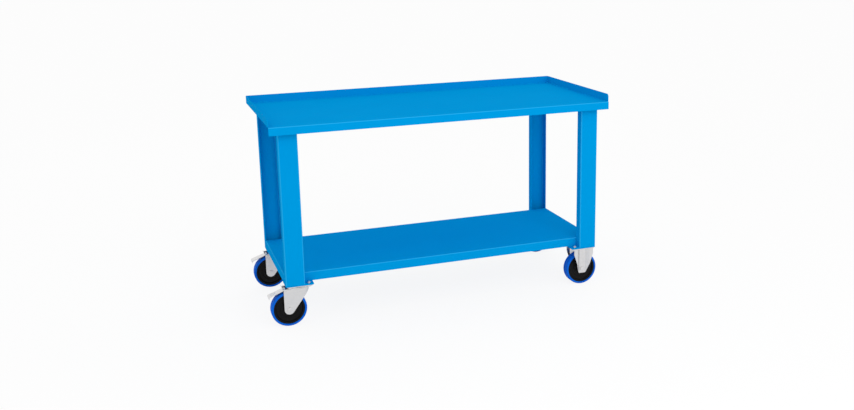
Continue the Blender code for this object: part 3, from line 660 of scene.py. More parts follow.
@dataclass
class Worktop:
    """Folded tray: its front edge is turned down, its rear and side edges are turned up."""

    sheet: float = 0.002
    upstand: float = 0.0335
    fold_radius: float = 0.0028
    rear_corner_radius: float = 0.006
    front_corner_radius: float = 0.012
    relief: float = 0.001
    edge: float = 0.0004

    def surface(self) -> Surface:
        """Middle of the sheet.

        The turned-up edge is a quarter circle and a straight wall, carried along a line with rounded rear
        corners. At its front ends the top falls along a quarter circle. The turned-down edge is the same
        section carried along the front.

        Returns:
            The flat, the upstand and the front edge as one open surface.
        """
        low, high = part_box("worktop")
        x, y = (high.x - low.x - self.sheet) / 2, (high.y - low.y - self.sheet) / 2
        centre = np.array(((low.x + high.x) / 2, (low.y + high.y) / 2, 0))
        flat = high.z - self.upstand - self.sheet / 2
        fold_y = -y + self.fold_radius
        start = fold_y + self.relief

        fall, run = quarter(self.front_corner_radius, ARC_STEPS + 1)
        front = np.stack([np.full_like(run, x), start + run], -1)
        around, inward = fillet([(x, start), (x, y), (-x, y), (-x, start)], self.rear_corner_radius)
        line = np.concatenate([front, around[1:-1], front[::-1] * ACROSS])
        aside = np.tile((-1.0, 0.0), (len(run), 1))
        inward = np.concatenate([aside, inward[1:-1], -aside])
        top = high.z - np.concatenate([fall, np.zeros(len(around) - 2), fall[::-1]])

        inset, rise = quarter(self.fold_radius)
        inset = np.append(inset, 0)
        wall = line[:, None] + inward[:, None] * inset[:, None]
        level = np.concatenate([np.tile(flat + rise, (len(line), 1)), top[:, None]], 1)
        surface = Surface()
        upstand = surface.add_grid(points_at(wall[..., 0], wall[..., 1], level) + centre)

        ends = np.array((-x, x))[:, None]
        section = points_at(ends, inset - y, np.append(flat - rise, low.z))
        # the fold weights paint a highlight along the front fold
        apron = surface.add_grid(section + centre, fold=TRAY_FOLD_HIGHLIGHT)
        slit_x = x - self.fold_radius
        slits = surface.add_points(np.array([(-slit_x, fold_y, flat), (slit_x, fold_y, flat)]) + centre)
        surface.add_face(np.concatenate([upstand[:, 0], slits[:1], apron[:, 0], slits[1:]]))
        return surface

    def build(self, maker: Maker) -> None:
        """Makes the worktop."""
        maker.piece("worktop_tray", self.surface(), Slot.COAT, "worktop", sheet=self.sheet, edge=self.edge)


@dataclass
class Shelf:
    """Lower tray: its four edges are turned down."""

    node: str = "lower_shelf"
    sheet: float = 0.002
    fold_radius: float = 0.0028
    corner_radius: float = 0.005
    edge: float = 0.0004

    def surface(self) -> Surface:
        """Middle of the sheet: a quarter circle and a straight wall, carried round a rounded rectangle.

        Returns:
            The flat and its edges as one open surface.
        """
        low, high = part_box(self.node)
        middle, size = (low + high) / 2, high - low
        outline = rectangle(size.x - self.sheet, size.y - self.sheet)
        line, inward = fillet(outline, self.corner_radius, closed=True)
        inset, drop = quarter(self.fold_radius)
        level = np.append(high.z - self.sheet / 2 - drop, low.z)
        wall = line[:, None] + inward[:, None] * np.append(inset, 0)[:, None] + (middle.x, middle.y)
        surface = Surface()
        points = points_at(wall[..., 0], wall[..., 1], level)
        # the fold weights paint a highlight along the tray's folds
        numbers = surface.add_grid(points, wrap_rows=True, fold=TRAY_FOLD_HIGHLIGHT)
        surface.add_face(numbers[:, 0])
        return surface

    def build(self, maker: Maker) -> None:
        """Makes the shelf."""
        maker.piece("lower_shelf_tray", self.surface(), Slot.COAT, self.node, "", self.sheet, self.edge)


@dataclass
class Stiffener:
    """Hat section welded under a tray."""

    node: str
    crown_width: float = 0.042
    sheet: float = 0.0015
    fold_radius: float = 0.003
    edge: float = 0.0003

    def surface(self) -> Surface:
        """Middle of the sheet: the hat's section with rounded folds, carried along X.

        Returns:
            The section's line by its two ends.
        """
        low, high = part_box(self.node)
        top, bottom = high.z - self.sheet / 2, low.z + self.sheet / 2
        flange, wall = (high.y - low.y) / 2, self.crown_width / 2
        half = [(-flange, top), (-wall, top), (-wall, bottom)]
        line, _ = fillet(mirrored(half, ACROSS), self.fold_radius)
        ends = np.array((low.x, high.x))
        return Surface.of(points_at(ends, line[:, :1] + (low.y + high.y) / 2, line[:, 1:]))

    def build(self, maker: Maker) -> None:
        """Makes the stiffener."""
        name = f"{self.node}_hat"
        maker.piece(name, self.surface(), Slot.COAT, self.node, sheet=self.sheet, edge=self.edge)


@dataclass
class Bolt:
    """Sizes of the bolts that hold the casters and the worktop."""

    flats: float = 0.013
    radius: float = 0.004
    pitch: float = 0.00125
    head: float = 0.0053
    nut: float = 0.0065
    end: float = 0.002
    washer_radius: float = 0.008
    washer: float = 0.0012

    def surface(self, places: Line, seat: float, nut_seat: Optional[float] = None) -> Surface:
        """Bolts with their heads on washers under a seat, and with nuts and threaded ends on another.

        Args:
            places: X and Y of each bolt.
            seat: height of the heads' seat.
            nut_seat: height of the nuts' seat, if they show.

        Returns:
            All the bolts.
        """
        under = seat - self.washer
        washer = [(0, seat), (self.washer_radius, seat), (self.washer_radius, under), (0, under)]
        solids: list[Array] = []
        for place in places:
            stand = (Axis.Z, (*place, 0))
            solids.append(turned(washer, WASHER_STEPS, *stand))
            solids.append(hexagon_rings(self.flats, under, seat - self.head, *stand, both=False))
            if nut_seat is not None:
                high = nut_seat + self.nut
                ends = (high - self.pitch, high + self.end)
                solids.append(hexagon_rings(self.flats, nut_seat, high, *stand, both=True))
                solids.append(thread_rings(self.radius, *ends, self.pitch, *stand))
        return Surface.of(*solids, wrap_columns=True)


@dataclass
class Plate:
    """Flat plate with round corners and softened edges, in the outline of a CAD node seen from above."""

    node: str
    corner: float = 0.005
    edge: float = 0.0006

    def surface(self, low: float, high: float) -> Surface:
        """Plate between two heights.

        Args:
            low: height of the lower face.
            high: height of the upper face.

        Returns:
            The closed plate.
        """
        size, middle = size_of(self.node), middle_of(self.node)
        rings = plate_rings(size.x, size.y, self.corner, low, high, self.edge)
        return Surface.of(rings + (middle.x, middle.y, 0), wrap_columns=True, caps=True)


@dataclass
class Leg:
    """Folded channel with its foot plate below and its head plate above."""

    side: Side
    end: End
    sheet: float = 0.0025
    fold_radius: float = 0.004
    head_plate: float = 0.004
    head_bolt_setback: float = 0.05375  # of the bolts, from the leg's web
    edge: float = 0.0005
    weld_radius: float = 0.0022
    weld_ripple: float = 0.0024  # length of one ripple
    weld_swell: float = 0.14  # height of the ripples, over the radius
    weld_rings: int = 97
    weld_steps: int = 16
    bolt: Bolt = field(default_factory=Bolt)

    @property
    def label(self) -> str:
        """Corner of the bench that the leg stands at."""
        return label_of(self.side, self.end)

    @property
    def web(self) -> float:
        """Y of the outer face of the channel's web."""
        low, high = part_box(f"leg_{self.label}")
        return low.y if self.side is Side.FRONT else high.y

    def channel(self) -> Surface:
        """Middle of the channel's sheet: its U-shaped line with rounded folds, carried up from foot to head.

        Returns:
            The line by its two ends.
        """
        low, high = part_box(f"leg_{self.label}")
        facing, wall = self.side.value, (high.x - low.x - self.sheet) / 2
        depth = high.y - low.y - self.sheet / 2
        line, _ = fillet([(-wall, depth), (-wall, 0), (wall, 0), (wall, depth)], self.fold_radius)
        plan = line * (1, -facing) + ((low.x + high.x) / 2, self.web - facing * self.sheet / 2)
        points = points_at(plan[:, :1], plan[:, 1:], np.array((low.z, high.z)))
        # the fold weights paint a highlight along the channel's two folds
        return Surface.of(points, fold=fold_highlight_of(2)[:, None])

    def weld(self) -> Surface:
        """Bead between the inner flange and the foot plate.

        A tube along Y whose radius grows and falls with the sine of the length over the ripple, and whose
        ends close along a half circle.

        Returns:
            The closed bead.
        """
        low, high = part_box(f"leg_{self.label}")
        corner = np.array((low.x if self.end is End.RIGHT else high.x, 0, low.z - SEAT_GAP))
        margin = 2 * self.weld_radius
        run = np.linspace(low.y + margin, high.y - margin, self.weld_rings)[:, None]
        past = np.minimum(run - run[0], run[-1] - run) / self.weld_radius
        close = np.sqrt(np.clip(1 - np.clip(1 - past, 0, 1) ** 2, 0, 1))
        ripple = 1 + self.weld_swell * np.sin(2 * pi * run / self.weld_ripple)
        radius = self.weld_radius * close * ripple
        turn = full_turn(self.weld_steps)
        tube = points_at(radius * np.cos(turn), run, radius * np.sin(turn)) + corner
        return Surface.of(tube, wrap_columns=True)

    def head_bolts(self, seat: float) -> Surface:
        """Heads of the two bolts under the head plate.

        Args:
            seat: height of the plate's lower face.

        Returns:
            The bolt heads with their washers.
        """
        middle, across = middle_of(f"leg_head_plate_{self.label}"), size_of(f"leg_{self.label}").x / 4
        y = self.web - self.side.value * self.head_bolt_setback
        return self.bolt.surface([(middle.x - across, y), (middle.x + across, y)], seat)

    def build(self, maker: Maker) -> None:
        """Makes the leg, its weld, its plates and the bolts of its head plate.

        Args:
            maker: makes the pieces.
        """
        label = self.label
        maker.piece("leg_channel", self.channel(), Slot.COAT, "leg", label, self.sheet, self.edge)
        maker.piece("leg_weld", self.weld(), Slot.COAT, "leg", label, added=True)
        foot, head = f"foot_plate_{label}", f"leg_head_plate_{label}"
        low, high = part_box(foot)
        maker.piece("foot_pad", Plate(foot).surface(low.z, high.z), Slot.COAT, "foot_plate", label)
        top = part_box(head)[1].z
        seat = top - self.head_plate
        maker.piece("head_pad", Plate(head).surface(seat, top), Slot.COAT, "leg_head_plate", label)
        maker.piece("head_bolts", self.head_bolts(seat), Slot.ZINC, "leg_head_plate", label, added=True)


# ---------------------------------------- casters


@dataclass
class Wheel:
    """Black hub with a blue elastic tyre, on its sleeve and axle."""

    label: str
    tyre_thickness: float = 0.0095
    shoulder_radius: float = 0.0048
    crown: float = 0.0004  # of the tread, over its shoulders
    crown_radius: float = 0.02
    bead_setback: float = 0.0004
    bead_radius: float = 0.0006
    hub_bore: float = 0.010
    boss_radius: float = 0.0205
    boss_side: float = 0.022
    boss_taper: float = 0.001
    web_side: float = 0.010
    ring_half: float = 0.002  # raised ring on the web
    ring_slope: float = 0.001
    ring_height: float = 0.0012
    rim_side: float = 0.017
    rim_thickness: float = 0.007
    hub_radii: Sequence[float] = (4e-4, 12e-4, 20e-4, 6e-4, 4e-4, 4e-4, 6e-4, 20e-4, 10e-4, 6e-4)
    axle_radius: float = 0.006
    axle_flats: float = 0.018
    axle_pitch: float = 0.00175
    seat: float = 0.0268
    head: float = 0.0035
    nut: float = 0.008
    axle_end: float = 0.002
    sleeve_side: float = 0.0232
    sleeve_edge: float = 0.0005
    steps: int = 128

    @property
    def radius(self) -> float:
        """Outer radius of the tyre."""
        return size_of(f"tyre_{self.label}").z / 2

    @property
    def centre(self) -> Vector:
        """Middle of the wheel."""
        return middle_of(f"tyre_{self.label}")

    def tyre(self) -> Surface:
        """Tyre: a section with a slightly crowned tread and round shoulders, turned about the axle.

        Returns:
            The closed ring.
        """
        side = size_of(f"tyre_{self.label}").y / 2
        inner, tread = self.radius - self.tyre_thickness, self.radius - self.crown
        half = [(inner, side - self.bead_setback), (tread, side), (self.radius, side / 3)]
        radii = mirrored([self.bead_radius, self.shoulder_radius, self.crown_radius])
        return ring_surface(mirrored(half, BACK), radii, self.steps, Axis.Y, self.centre, ARC_STEPS)

    def hub(self) -> Surface:
        """Hub: boss, dished web with a raised ring, and rim, as one rounded section turned about the axle.

        Returns:
            The closed ring.
        """
        boss, web = self.boss_side, self.web_side
        rim = self.radius - self.tyre_thickness - SEAT_GAP
        rim_inner, slope = rim - self.rim_thickness, (self.rim_side - web) / 2
        ring, foot = (self.boss_radius + rim_inner) / 2, self.ring_half + self.ring_slope
        half = [
            (self.hub_bore, boss),
            (self.boss_radius - self.boss_taper, boss),
            (self.boss_radius + slope, web),
            (ring - foot, web),
            (ring - self.ring_half, web + self.ring_height),
            (ring + self.ring_half, web + self.ring_height),
            (ring + foot, web),
            (rim_inner - slope, web),
            (rim_inner, self.rim_side),
            (rim, self.rim_side),
        ]
        return ring_surface(mirrored(half, BACK), mirrored(self.hub_radii), self.steps, Axis.Y, self.centre)

    def sleeve(self) -> Surface:
        """Spacer tube that the hub turns on, as a rounded section turned about the axle.

        Returns:
            The closed ring.
        """
        inner, outer, side = self.axle_radius + SEAT_GAP, self.hub_bore - SEAT_GAP, self.sleeve_side
        corners = [(inner, -side), (outer, -side), (outer, side), (inner, side)]
        return ring_surface(corners, self.sleeve_edge, AXLE_STEPS, Axis.Y, self.centre)

    def axle_bolt(self) -> Surface:
        """Bolt with its head at the front and its threaded end at the rear.

        Returns:
            The head, the shank and the end.
        """
        radius, seat, tip, at = self.axle_radius, -self.seat, self.seat + self.nut, self.centre
        head = hexagon_rings(self.axle_flats, seat, seat - self.head, Axis.Y, at, both=False)
        shank = turned([(0, seat), (radius, seat), (radius, tip), (0, tip)], AXLE_STEPS, Axis.Y, at)
        end = thread_rings(radius, tip, tip + self.axle_end, self.axle_pitch, Axis.Y, at)
        return Surface.of(head, shank, end, wrap_columns=True)

    def axle_nut(self) -> Surface:
        """Nut at the rear.

        Returns:
            The closed nut.
        """
        ends = (self.seat, self.seat + self.nut)
        nut = hexagon_rings(self.axle_flats, *ends, Axis.Y, self.centre, both=True)
        return Surface.of(nut, wrap_columns=True)

    def build(self, maker: Maker) -> None:
        """Makes the wheel and its axle.

        Args:
            maker: makes the pieces.
        """
        maker.piece("tyre_band", self.tyre(), Slot.TYRE, "tyre", self.label)
        maker.piece("hub_disc", self.hub(), Slot.HUB, "hub", self.label)
        maker.piece("axle_tube", self.sleeve(), Slot.ZINC, "axle_sleeve", self.label)
        maker.piece("axle_screw", self.axle_bolt(), Slot.ZINC, "axle_bolt", self.label)
        maker.piece("axle_lock_nut", self.axle_nut(), Slot.ZINC, "axle_nut", self.label)


@dataclass
class CasterPlate:
    """Plate of a caster with the four bolts that hold it to the foot plate."""

    node: str
    foot_node: str
    thickness: float = 0.0035
    bolt_x: float = 0.040
    bolt_y: float = 0.030
    bolt: Bolt = field(default_factory=Bolt)

    @property
    def top(self) -> float:
        """Height of the plate's upper face."""
        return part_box(self.foot_node)[0].z - SEAT_GAP

    @property
    def bottom(self) -> float:
        """Height of the plate's lower face."""
        return self.top - self.thickness

    @property
    def middle(self) -> Vector:
        """Middle of the plate, seen from above."""
        return middle_of(self.node).to_2d()

    def plate(self) -> Surface:
        """Plate with softened edges."""
        return Plate(self.node).surface(self.bottom, self.top)

    def bolts(self) -> Surface:
        """Heads under the plate, and nuts with threaded ends on the foot plate.

        Returns:
            All four bolts.
        """
        x, y = self.middle
        along, aside = (x - self.bolt_x, x + self.bolt_x), (y - self.bolt_y, y + self.bolt_y)
        on_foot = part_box(self.foot_node)[1].z + SEAT_GAP
        return self.bolt.surface([(x, y) for x in along for y in aside], self.bottom, on_foot)


@dataclass
class Pedal:
    """Brake pedal on its pin: a tread with a lip and grip ribs, a release tab, two ears and a shoe."""

    label: str
    pin: Vector
    slope: float
    shoe_back: float
    sheet: float = 0.0022
    length: float = 0.06998
    offset: float = 0.0055
    lip: float = 0.008
    root_half: float = 0.018
    tip_half: float = 0.021
    tip_radius: float = 0.005
    fold_radius: float = 0.004
    ear_radius: float = 0.0043
    ear_points: int = 17
    tab_height: float = 0.017
    tab_half: float = 0.013
    rib_start: float = 0.010  # of the first rib, from the tip
    rib_height: float = 0.0007
    rib_width: float = 0.0012
    rib_pitch: float = 0.006
    rib_count: int = 4
    rib_reach: float = 0.75  # share of the half width where a rib ends, and over which it fades
    rib_fade: float = 0.15
    shoe_length: float = 0.016
    shoe_width: float = 0.026
    shoe_thickness: float = 0.003
    shoe_corner: float = 0.002
    shoe_edge: float = 0.0007
    pin_radius: float = 0.0025
    pin_head_radius: float = 0.0045
    pin_head: float = 0.002
    pin_head_straight: float = 0.35
    pin_head_points: int = 6
    pin_seat: float = 0.0268
    edge: float = 0.0004
    spacing: float = 0.0005  # of the sheet's points along its line
    tread_points: int = 41  # across
    tab_points: int = 25

    def placed(self, points: Array) -> Array:
        """Points of the flat pedal, tilted about its pin by the released slope and moved to the pin.

        Args:
            points: points with the pin at their origin and the pedal along -X.

        Returns:
            The points in the bench's frame.
        """
        x, y, z = np.moveaxis(points, -1, 0)
        tilted_x = x * cos(self.slope) - z * sin(self.slope)
        tilted_z = x * sin(self.slope) + z * cos(self.slope)
        return points_at(tilted_x, y, tilted_z) + np.array(self.pin)

    def tread(self) -> Array:
        """Middle of the tread's sheet.

        A line with a rounded fold, carried across the pedal's width, which widens towards the tip and
        closes along a quarter circle at the lip. Each rib lifts the sheet by a bell curve along the tread
        that fades out near the sides.

        Returns:
            Stations along the tread by places across it.
        """
        tip = (-self.length - self.lip / 4, self.offset - self.lip)
        corners = [(self.ear_radius, self.offset), (-self.length, self.offset), tip]
        line = resample(fillet(corners, self.fold_radius)[0], self.spacing)
        left = np.append(np.linalg.norm(np.diff(line, axis=0), axis=1)[::-1].cumsum()[::-1], 0)
        widen = np.clip((-line[:, 0] - 2 * self.ear_radius) / (self.length - 2 * self.ear_radius), 0, 1)
        near = np.clip(self.tip_radius - left, 0, None)
        half = self.root_half + (self.tip_half - self.root_half) * widen
        half = half - self.tip_radius + np.sqrt(self.tip_radius**2 - near**2)
        across = np.linspace(-1, 1, self.tread_points)
        ribs = -self.length + self.rib_start + self.rib_pitch * np.arange(self.rib_count)
        bell = np.exp(-(((line[:, :1] - ribs) / self.rib_width) ** 2)).sum(1)
        fade = np.clip((self.rib_reach - np.abs(across)) / self.rib_fade, 0, 1)
        lift = self.rib_height * bell[:, None] * (fade**2 * (3 - 2 * fade))
        return points_at(line[:, :1], half[:, None] * across, line[:, 1:] + lift)

    def tab(self) -> Array:
        """Middle of the release tab's sheet: a folded line carried across, with round upper corners.

        Returns:
            Stations up the tab by places across it.
        """
        foot, third = self.ear_radius, self.tab_height / 3
        corners = [(-foot / 2, 0), (-foot, third), (-foot * 4 / 3, self.tab_height)]
        line = resample(fillet(corners, self.fold_radius)[0] + (0, self.offset), self.spacing)
        near = np.clip(line[:, 1] - line[-1, 1] + self.tip_radius, 0, self.tip_radius)
        half = self.tab_half - self.tip_radius + np.sqrt(self.tip_radius**2 - near**2)
        return points_at(line[:, :1], half[:, None] * np.linspace(-1, 1, self.tab_points), line[:, 1:])

    def plates(self) -> Surface:
        """Tread, tab and ears as the middles of their sheets. An ear is a half circle with a flat top.

        Returns:
            The four sheets as one surface.
        """
        surface = Surface()
        surface.add_grid(self.placed(self.tread()))
        surface.add_grid(self.placed(self.tab()))
        turn = np.linspace(pi, 2 * pi, self.ear_points)
        ear = np.stack([np.cos(turn), np.sin(turn)], -1) * self.ear_radius
        ear = np.concatenate([ear, [(self.ear_radius, self.offset), (-self.ear_radius, self.offset)]])
        middle = self.root_half - SEAT_GAP - self.sheet / 2
        for y in (-middle, middle):
            surface.add_face(surface.add_points(self.placed(points_at(ear[:, 0], y, ear[:, 1]))))
        return surface

    def shoe(self) -> Surface:
        """Block under the tread with softened edges.

        Returns:
            The closed block.
        """
        high = self.offset - self.sheet / 2 - SEAT_GAP
        size, low = (self.shoe_length, self.shoe_width), high - self.shoe_thickness
        rings = plate_rings(*size, self.shoe_corner, low, high, self.shoe_edge) - (self.shoe_back, 0, 0)
        return Surface.of(self.placed(rings), wrap_columns=True, caps=True)

    def hinge_pin(self) -> Surface:
        """Pin with a domed head at each end, turned about its axis.

        Returns:
            The closed pin.
        """
        seat, radius = self.pin_seat, self.pin_head_radius
        head = dome(radius, self.pin_head, self.pin_head_straight, self.pin_head_points) + (0, seat)
        half = np.concatenate([head, [(radius, seat), (self.pin_radius, seat)]])
        return Surface.of(turned(mirrored(half, BACK), PIN_STEPS, Axis.Y, self.pin), wrap_columns=True)

    def build(self, maker: Maker) -> None:
        """Makes the pedal, its shoe and its pin.

        Args:
            maker: makes the pieces.
        """
        label, sizes = self.label, (self.sheet, self.edge)
        maker.piece("pedal_pressing", self.plates(), Slot.ZINC, "brake_pedal", label, *sizes)
        maker.piece("brake_pad", self.shoe(), Slot.SHOE, "brake_shoe", label)
        maker.piece("pedal_rivet", self.hinge_pin(), Slot.ZINC, "pedal_pin", label)


@dataclass
class SwivelCaster:
    """Caster that turns about its kingpin: plate, bearing, pressed fork, wheel and brake pedal."""

    side: Side
    trail: float = 0.046
    sheet: float = 0.003
    half_width: float = 0.025  # to the middle of the cheeks' sheet
    lead: float = 0.042  # nose ahead of the kingpin
    nose_drop: float = 0.006  # edge of the nose below the crown
    least_wall: float = 0.0005  # of the nose, under its fold
    fold_radius: float = 0.0035
    cheek_end: float = 0.021
    slot_front: float = 0.044
    crown_clearance: float = 0.0135
    rear_points: int = 24  # along a cheek, behind the slot's front and ahead of it
    front_points: int = 40
    nose_points: int = 41
    wall_points: int = 9
    pan_radius: float = 0.040
    pan_wall: float = 0.0035
    pan_height: float = 0.0048
    pan_step: float = 0.0006
    pan_radii: Sequence[float] = (0.0004, 0.0012, 0.0016, 0.0012, 0.0012, 0.001, 0.0004)
    race_radius: float = 0.035
    race_bore: float = 0.0125
    race_thickness: float = 0.0025
    race_edge: float = 0.0008
    kingpin_radius: float = 0.006
    kingpin_head_radius: float = 0.010
    kingpin_head: float = 0.004
    kingpin_head_straight: float = 0.4
    kingpin_head_points: int = 7
    pin_inset: float = 0.007
    pin_drop: float = 0.0092
    brake_angle: float = radians(12)
    brake_clearance: float = 0.0006
    edge: float = 0.0006

    @property
    def label(self) -> str:
        """Corner of the bench that the caster stands at."""
        return label_of(self.side, End.LEFT)

    @property
    def plate(self) -> CasterPlate:
        """Plate that the caster hangs from."""
        return CasterPlate(f"top_plate_{self.label}", f"foot_plate_{self.label}")

    @property
    def wheel(self) -> Wheel:
        """Wheel in the fork."""
        return Wheel(self.label)

    @property
    def kingpin(self) -> Array:
        """Point on the floor under the kingpin."""
        return np.array((*self.plate.middle, 0))

    @property
    def crown(self) -> float:
        """Height of the lower face of the fork's crown."""
        return 2 * self.wheel.radius + self.crown_clearance

    def cheek_bottom(self, x: Array) -> Array:
        """Height of the fork's lower edge.

        A circle about the axle at the rear, then the line that touches it and runs up to the nose.

        Args:
            x: distances ahead of the kingpin.

        Returns:
            Heights over the floor.
        """
        axle = self.wheel.radius
        nose_edge = self.crown - self.nose_drop
        ahead, up = self.lead + self.trail, nose_edge - axle
        touch = atan2(up, ahead) - acos(self.cheek_end / hypot(ahead, up))
        touch_x = -self.trail + self.cheek_end * cos(touch)
        touch_z = axle + self.cheek_end * sin(touch)
        behind = np.clip(x + self.trail, -self.cheek_end, self.cheek_end)
        circle = axle - np.sqrt(self.cheek_end**2 - behind**2)
        line = touch_z + (x - touch_x) * (nose_edge - touch_z) / (self.lead - touch_x)
        return np.where(x < touch_x, circle, line)

    def fork(self) -> Surface:
        """Middle of the fork's sheet.

        A horseshoe line, straight along both cheeks and round at the nose, carried up from the lower edge
        to the crown and drawn in along a quarter circle there. The crown closes it as far as the slot that
        the pedal moves in.

        Returns:
            The cheeks, the nose and the crown as one open surface.
        """
        rear = -self.trail - self.cheek_end
        nose = self.lead - self.sheet / 2 - self.half_width
        turn = np.linspace(0, pi / 2, self.rear_points)
        behind = rear + (-self.slot_front - rear) * (1 - np.cos(turn))
        ahead = np.linspace(-self.slot_front, nose, self.front_points)[1:]
        straight = np.concatenate([behind, ahead])
        bow = np.linspace(-pi / 2, pi / 2, self.nose_points)[1:-1]
        outward = np.stack([np.cos(bow), np.sin(bow)], -1)
        lower = np.stack([straight, np.full_like(straight, -self.half_width)], -1)
        line = np.concatenate([lower, (nose, 0) + self.half_width * outward, lower[::-1] * BACK])
        sideways = np.tile((0.0, 1.0), (len(straight), 1))
        inward = np.concatenate([sideways, -outward, -sideways])

        crown = self.crown + self.sheet / 2
        fold = crown - self.fold_radius
        foot = np.minimum(self.cheek_bottom(line[:, 0]), fold - self.least_wall)[:, None]
        wall = foot + (fold - foot) * np.linspace(0, 1, self.wall_points)
        fall, inset = (part[1:] for part in quarter(self.fold_radius))
        level = np.concatenate([wall, np.tile(crown - fall, (len(line), 1))], 1)
        inset = np.concatenate([np.zeros(self.wall_points), inset])
        flat = line[:, None] + inward[:, None] * inset[:, None]
        surface = Surface()
        numbers = surface.add_grid(points_at(flat[..., 0], flat[..., 1], level) + self.kingpin)
        surface.add_face(numbers[line[:, 0] > -self.slot_front - WELD_DISTANCE, -1])
        return surface

    def pan(self) -> Surface:
        """Pan of the bearing on the crown: its rounded section, turned about the kingpin.

        Returns:
            The closed ring.
        """
        crown, bore, outer = self.crown + self.sheet, self.race_bore, self.pan_radius
        bottom, floor, rim = self.crown + self.pan_step, crown + self.pan_step, crown + self.pan_height
        wall = outer - self.pan_wall
        corners = [(bore, bottom), (wall, bottom), (outer, floor), (outer, rim)]
        corners += [(wall, rim), (wall, floor), (bore, floor)]
        return ring_surface(corners, self.pan_radii, BEARING_STEPS, Axis.Z, self.kingpin)

    def race(self) -> Surface:
        """Upper race under the plate: its rounded section, turned about the kingpin.

        Returns:
            The closed ring.
        """
        high = self.plate.bottom - SEAT_GAP
        bore, outer, low = self.race_bore, self.race_radius, high - self.race_thickness
        corners = [(bore, low), (outer, low), (outer, high), (bore, high)]
        return ring_surface(corners, self.race_edge, BEARING_STEPS, Axis.Z, self.kingpin)

    def rivet(self) -> Surface:
        """Kingpin: a domed head under the crown and a shank up through the plate, turned about its axis.

        Returns:
            The closed kingpin.
        """
        seat, top, outer = self.crown - SEAT_GAP, self.plate.top, self.kingpin_head_radius
        head = dome(outer, self.kingpin_head, self.kingpin_head_straight, self.kingpin_head_points)
        shank = [(outer, seat), (self.kingpin_radius, seat), (self.kingpin_radius, top), (0, top)]
        profile = np.concatenate([head * BACK + (0, seat), shank])
        return Surface.of(turned(profile, AXLE_STEPS, Axis.Z, self.kingpin), wrap_columns=True)

    def pedal(self) -> Pedal:
        """Pedal on its pin, at the slope from which it comes down on the tyre by the brake's angle.

        The braked tread lies along the line past the pin that clears the tyre by the shoe and its gap.

        Returns:
            The pedal of this caster.
        """
        back = self.trail + self.cheek_end - self.pin_inset
        height = self.crown - self.pin_drop
        pin = Vector(self.kingpin + (-back, 0, height))
        pedal = Pedal(self.label, pin, 0.0, 0.0)
        behind, above = back - self.trail, height - self.wheel.radius
        reach = self.wheel.radius + self.brake_clearance + pedal.shoe_thickness + SEAT_GAP
        reach += pedal.sheet / 2 - pedal.offset
        turn = acos(reach / hypot(behind, above))
        pedal.slope = atan2(behind, above) + turn - self.brake_angle
        pedal.shoe_back = hypot(behind, above) * sin(turn)
        return pedal

    def build(self, maker: Maker) -> None:
        """Makes the caster.

        Args:
            maker: makes the pieces.
        """
        label = self.label
        maker.piece("mounting_plate", self.plate.plate(), Slot.ZINC, "top_plate", label)
        maker.piece("plate_bolts", self.plate.bolts(), Slot.ZINC, "top_plate", label, added=True)
        maker.piece("fork_pressing", self.fork(), Slot.ZINC, "fork", label, self.sheet, self.edge)
        maker.piece("bearing_pan", self.pan(), Slot.ZINC, "fork", label, added=True)
        maker.piece("bearing_race", self.race(), Slot.ZINC, "upper_race", label)
        maker.piece("kingpin_rivet", self.rivet(), Slot.ZINC, "kingpin", label)
        self.wheel.build(maker)
        self.pedal().build(maker)


@dataclass
class FixedCaster:
    """Caster that doesn't turn: plate with two pressed cheeks whose tongues carry the axle."""

    side: Side
    sheet: float = 0.003
    strip_y: float = 0.025  # to the middle of the sheet
    skirt_y: float = 0.041
    strip_half: float = 0.015
    slope: float = 0.016
    skirt_half: float = 0.0475
    fold_radius: float = 0.005
    tongue_half: float = 0.0165
    tongue_drop: float = 0.020
    tongue_radius: float = 0.006
    skirt_height: float = 0.024
    edge: float = 0.0006
    spacing: float = 0.0008  # of the sheet's points along its line
    wall_points: int = 12

    @property
    def label(self) -> str:
        """Corner of the bench that the caster stands at."""
        return label_of(self.side, End.RIGHT)

    @property
    def plate(self) -> CasterPlate:
        """Plate that the cheeks hang from."""
        return CasterPlate(f"bracket_{self.label}", f"foot_plate_{self.label}")

    def cheek(self, facing: Side) -> Surface:
        """Middle of one cheek's sheet.

        A line in plan that bulges in to the tongue, with rounded folds, carried up from the V-shaped lower
        edge to the plate.

        Args:
            facing: side of the wheel that the cheek stands on.

        Returns:
            The line by heights.
        """
        knee, skirt, top = self.strip_half + self.slope, self.skirt_half, self.plate.bottom
        half = [(-skirt, self.skirt_y), (-knee, self.skirt_y), (-self.strip_half, self.strip_y)]
        plan = resample(fillet(mirrored(half, ACROSS), self.fold_radius)[0], self.spacing)
        tip = Wheel(self.label).radius - self.tongue_drop
        half = [(-skirt, top - self.skirt_height), (-self.tongue_half, tip)]
        edge, _ = fillet(mirrored(half, ACROSS), self.tongue_radius)
        foot = np.interp(plan[:, 0], edge[:, 0], edge[:, 1])[:, None]
        level = foot + (top - foot) * np.linspace(0, 1, self.wall_points)
        middle = self.plate.middle
        x, y = plan[:, :1] + middle.x, facing.value * plan[:, 1:] + middle.y
        return Surface.of(points_at(x, y, level))

    def build(self, maker: Maker) -> None:
        """Makes the caster.

        Args:
            maker: makes the pieces.
        """
        label, sizes = self.label, (self.sheet, self.edge)
        maker.piece("bracket_plate", self.plate.plate(), Slot.ZINC, "bracket", label)
        maker.piece("plate_bolts", self.plate.bolts(), Slot.ZINC, "bracket", label, added=True)
        for facing in Side:
            name = f"bracket_cheek_{facing.name.lower()}_of"
            maker.piece(name, self.cheek(facing), Slot.ZINC, "bracket", label, *sizes, added=True)
        Wheel(label).build(maker)


# ---------------------------------------- studio


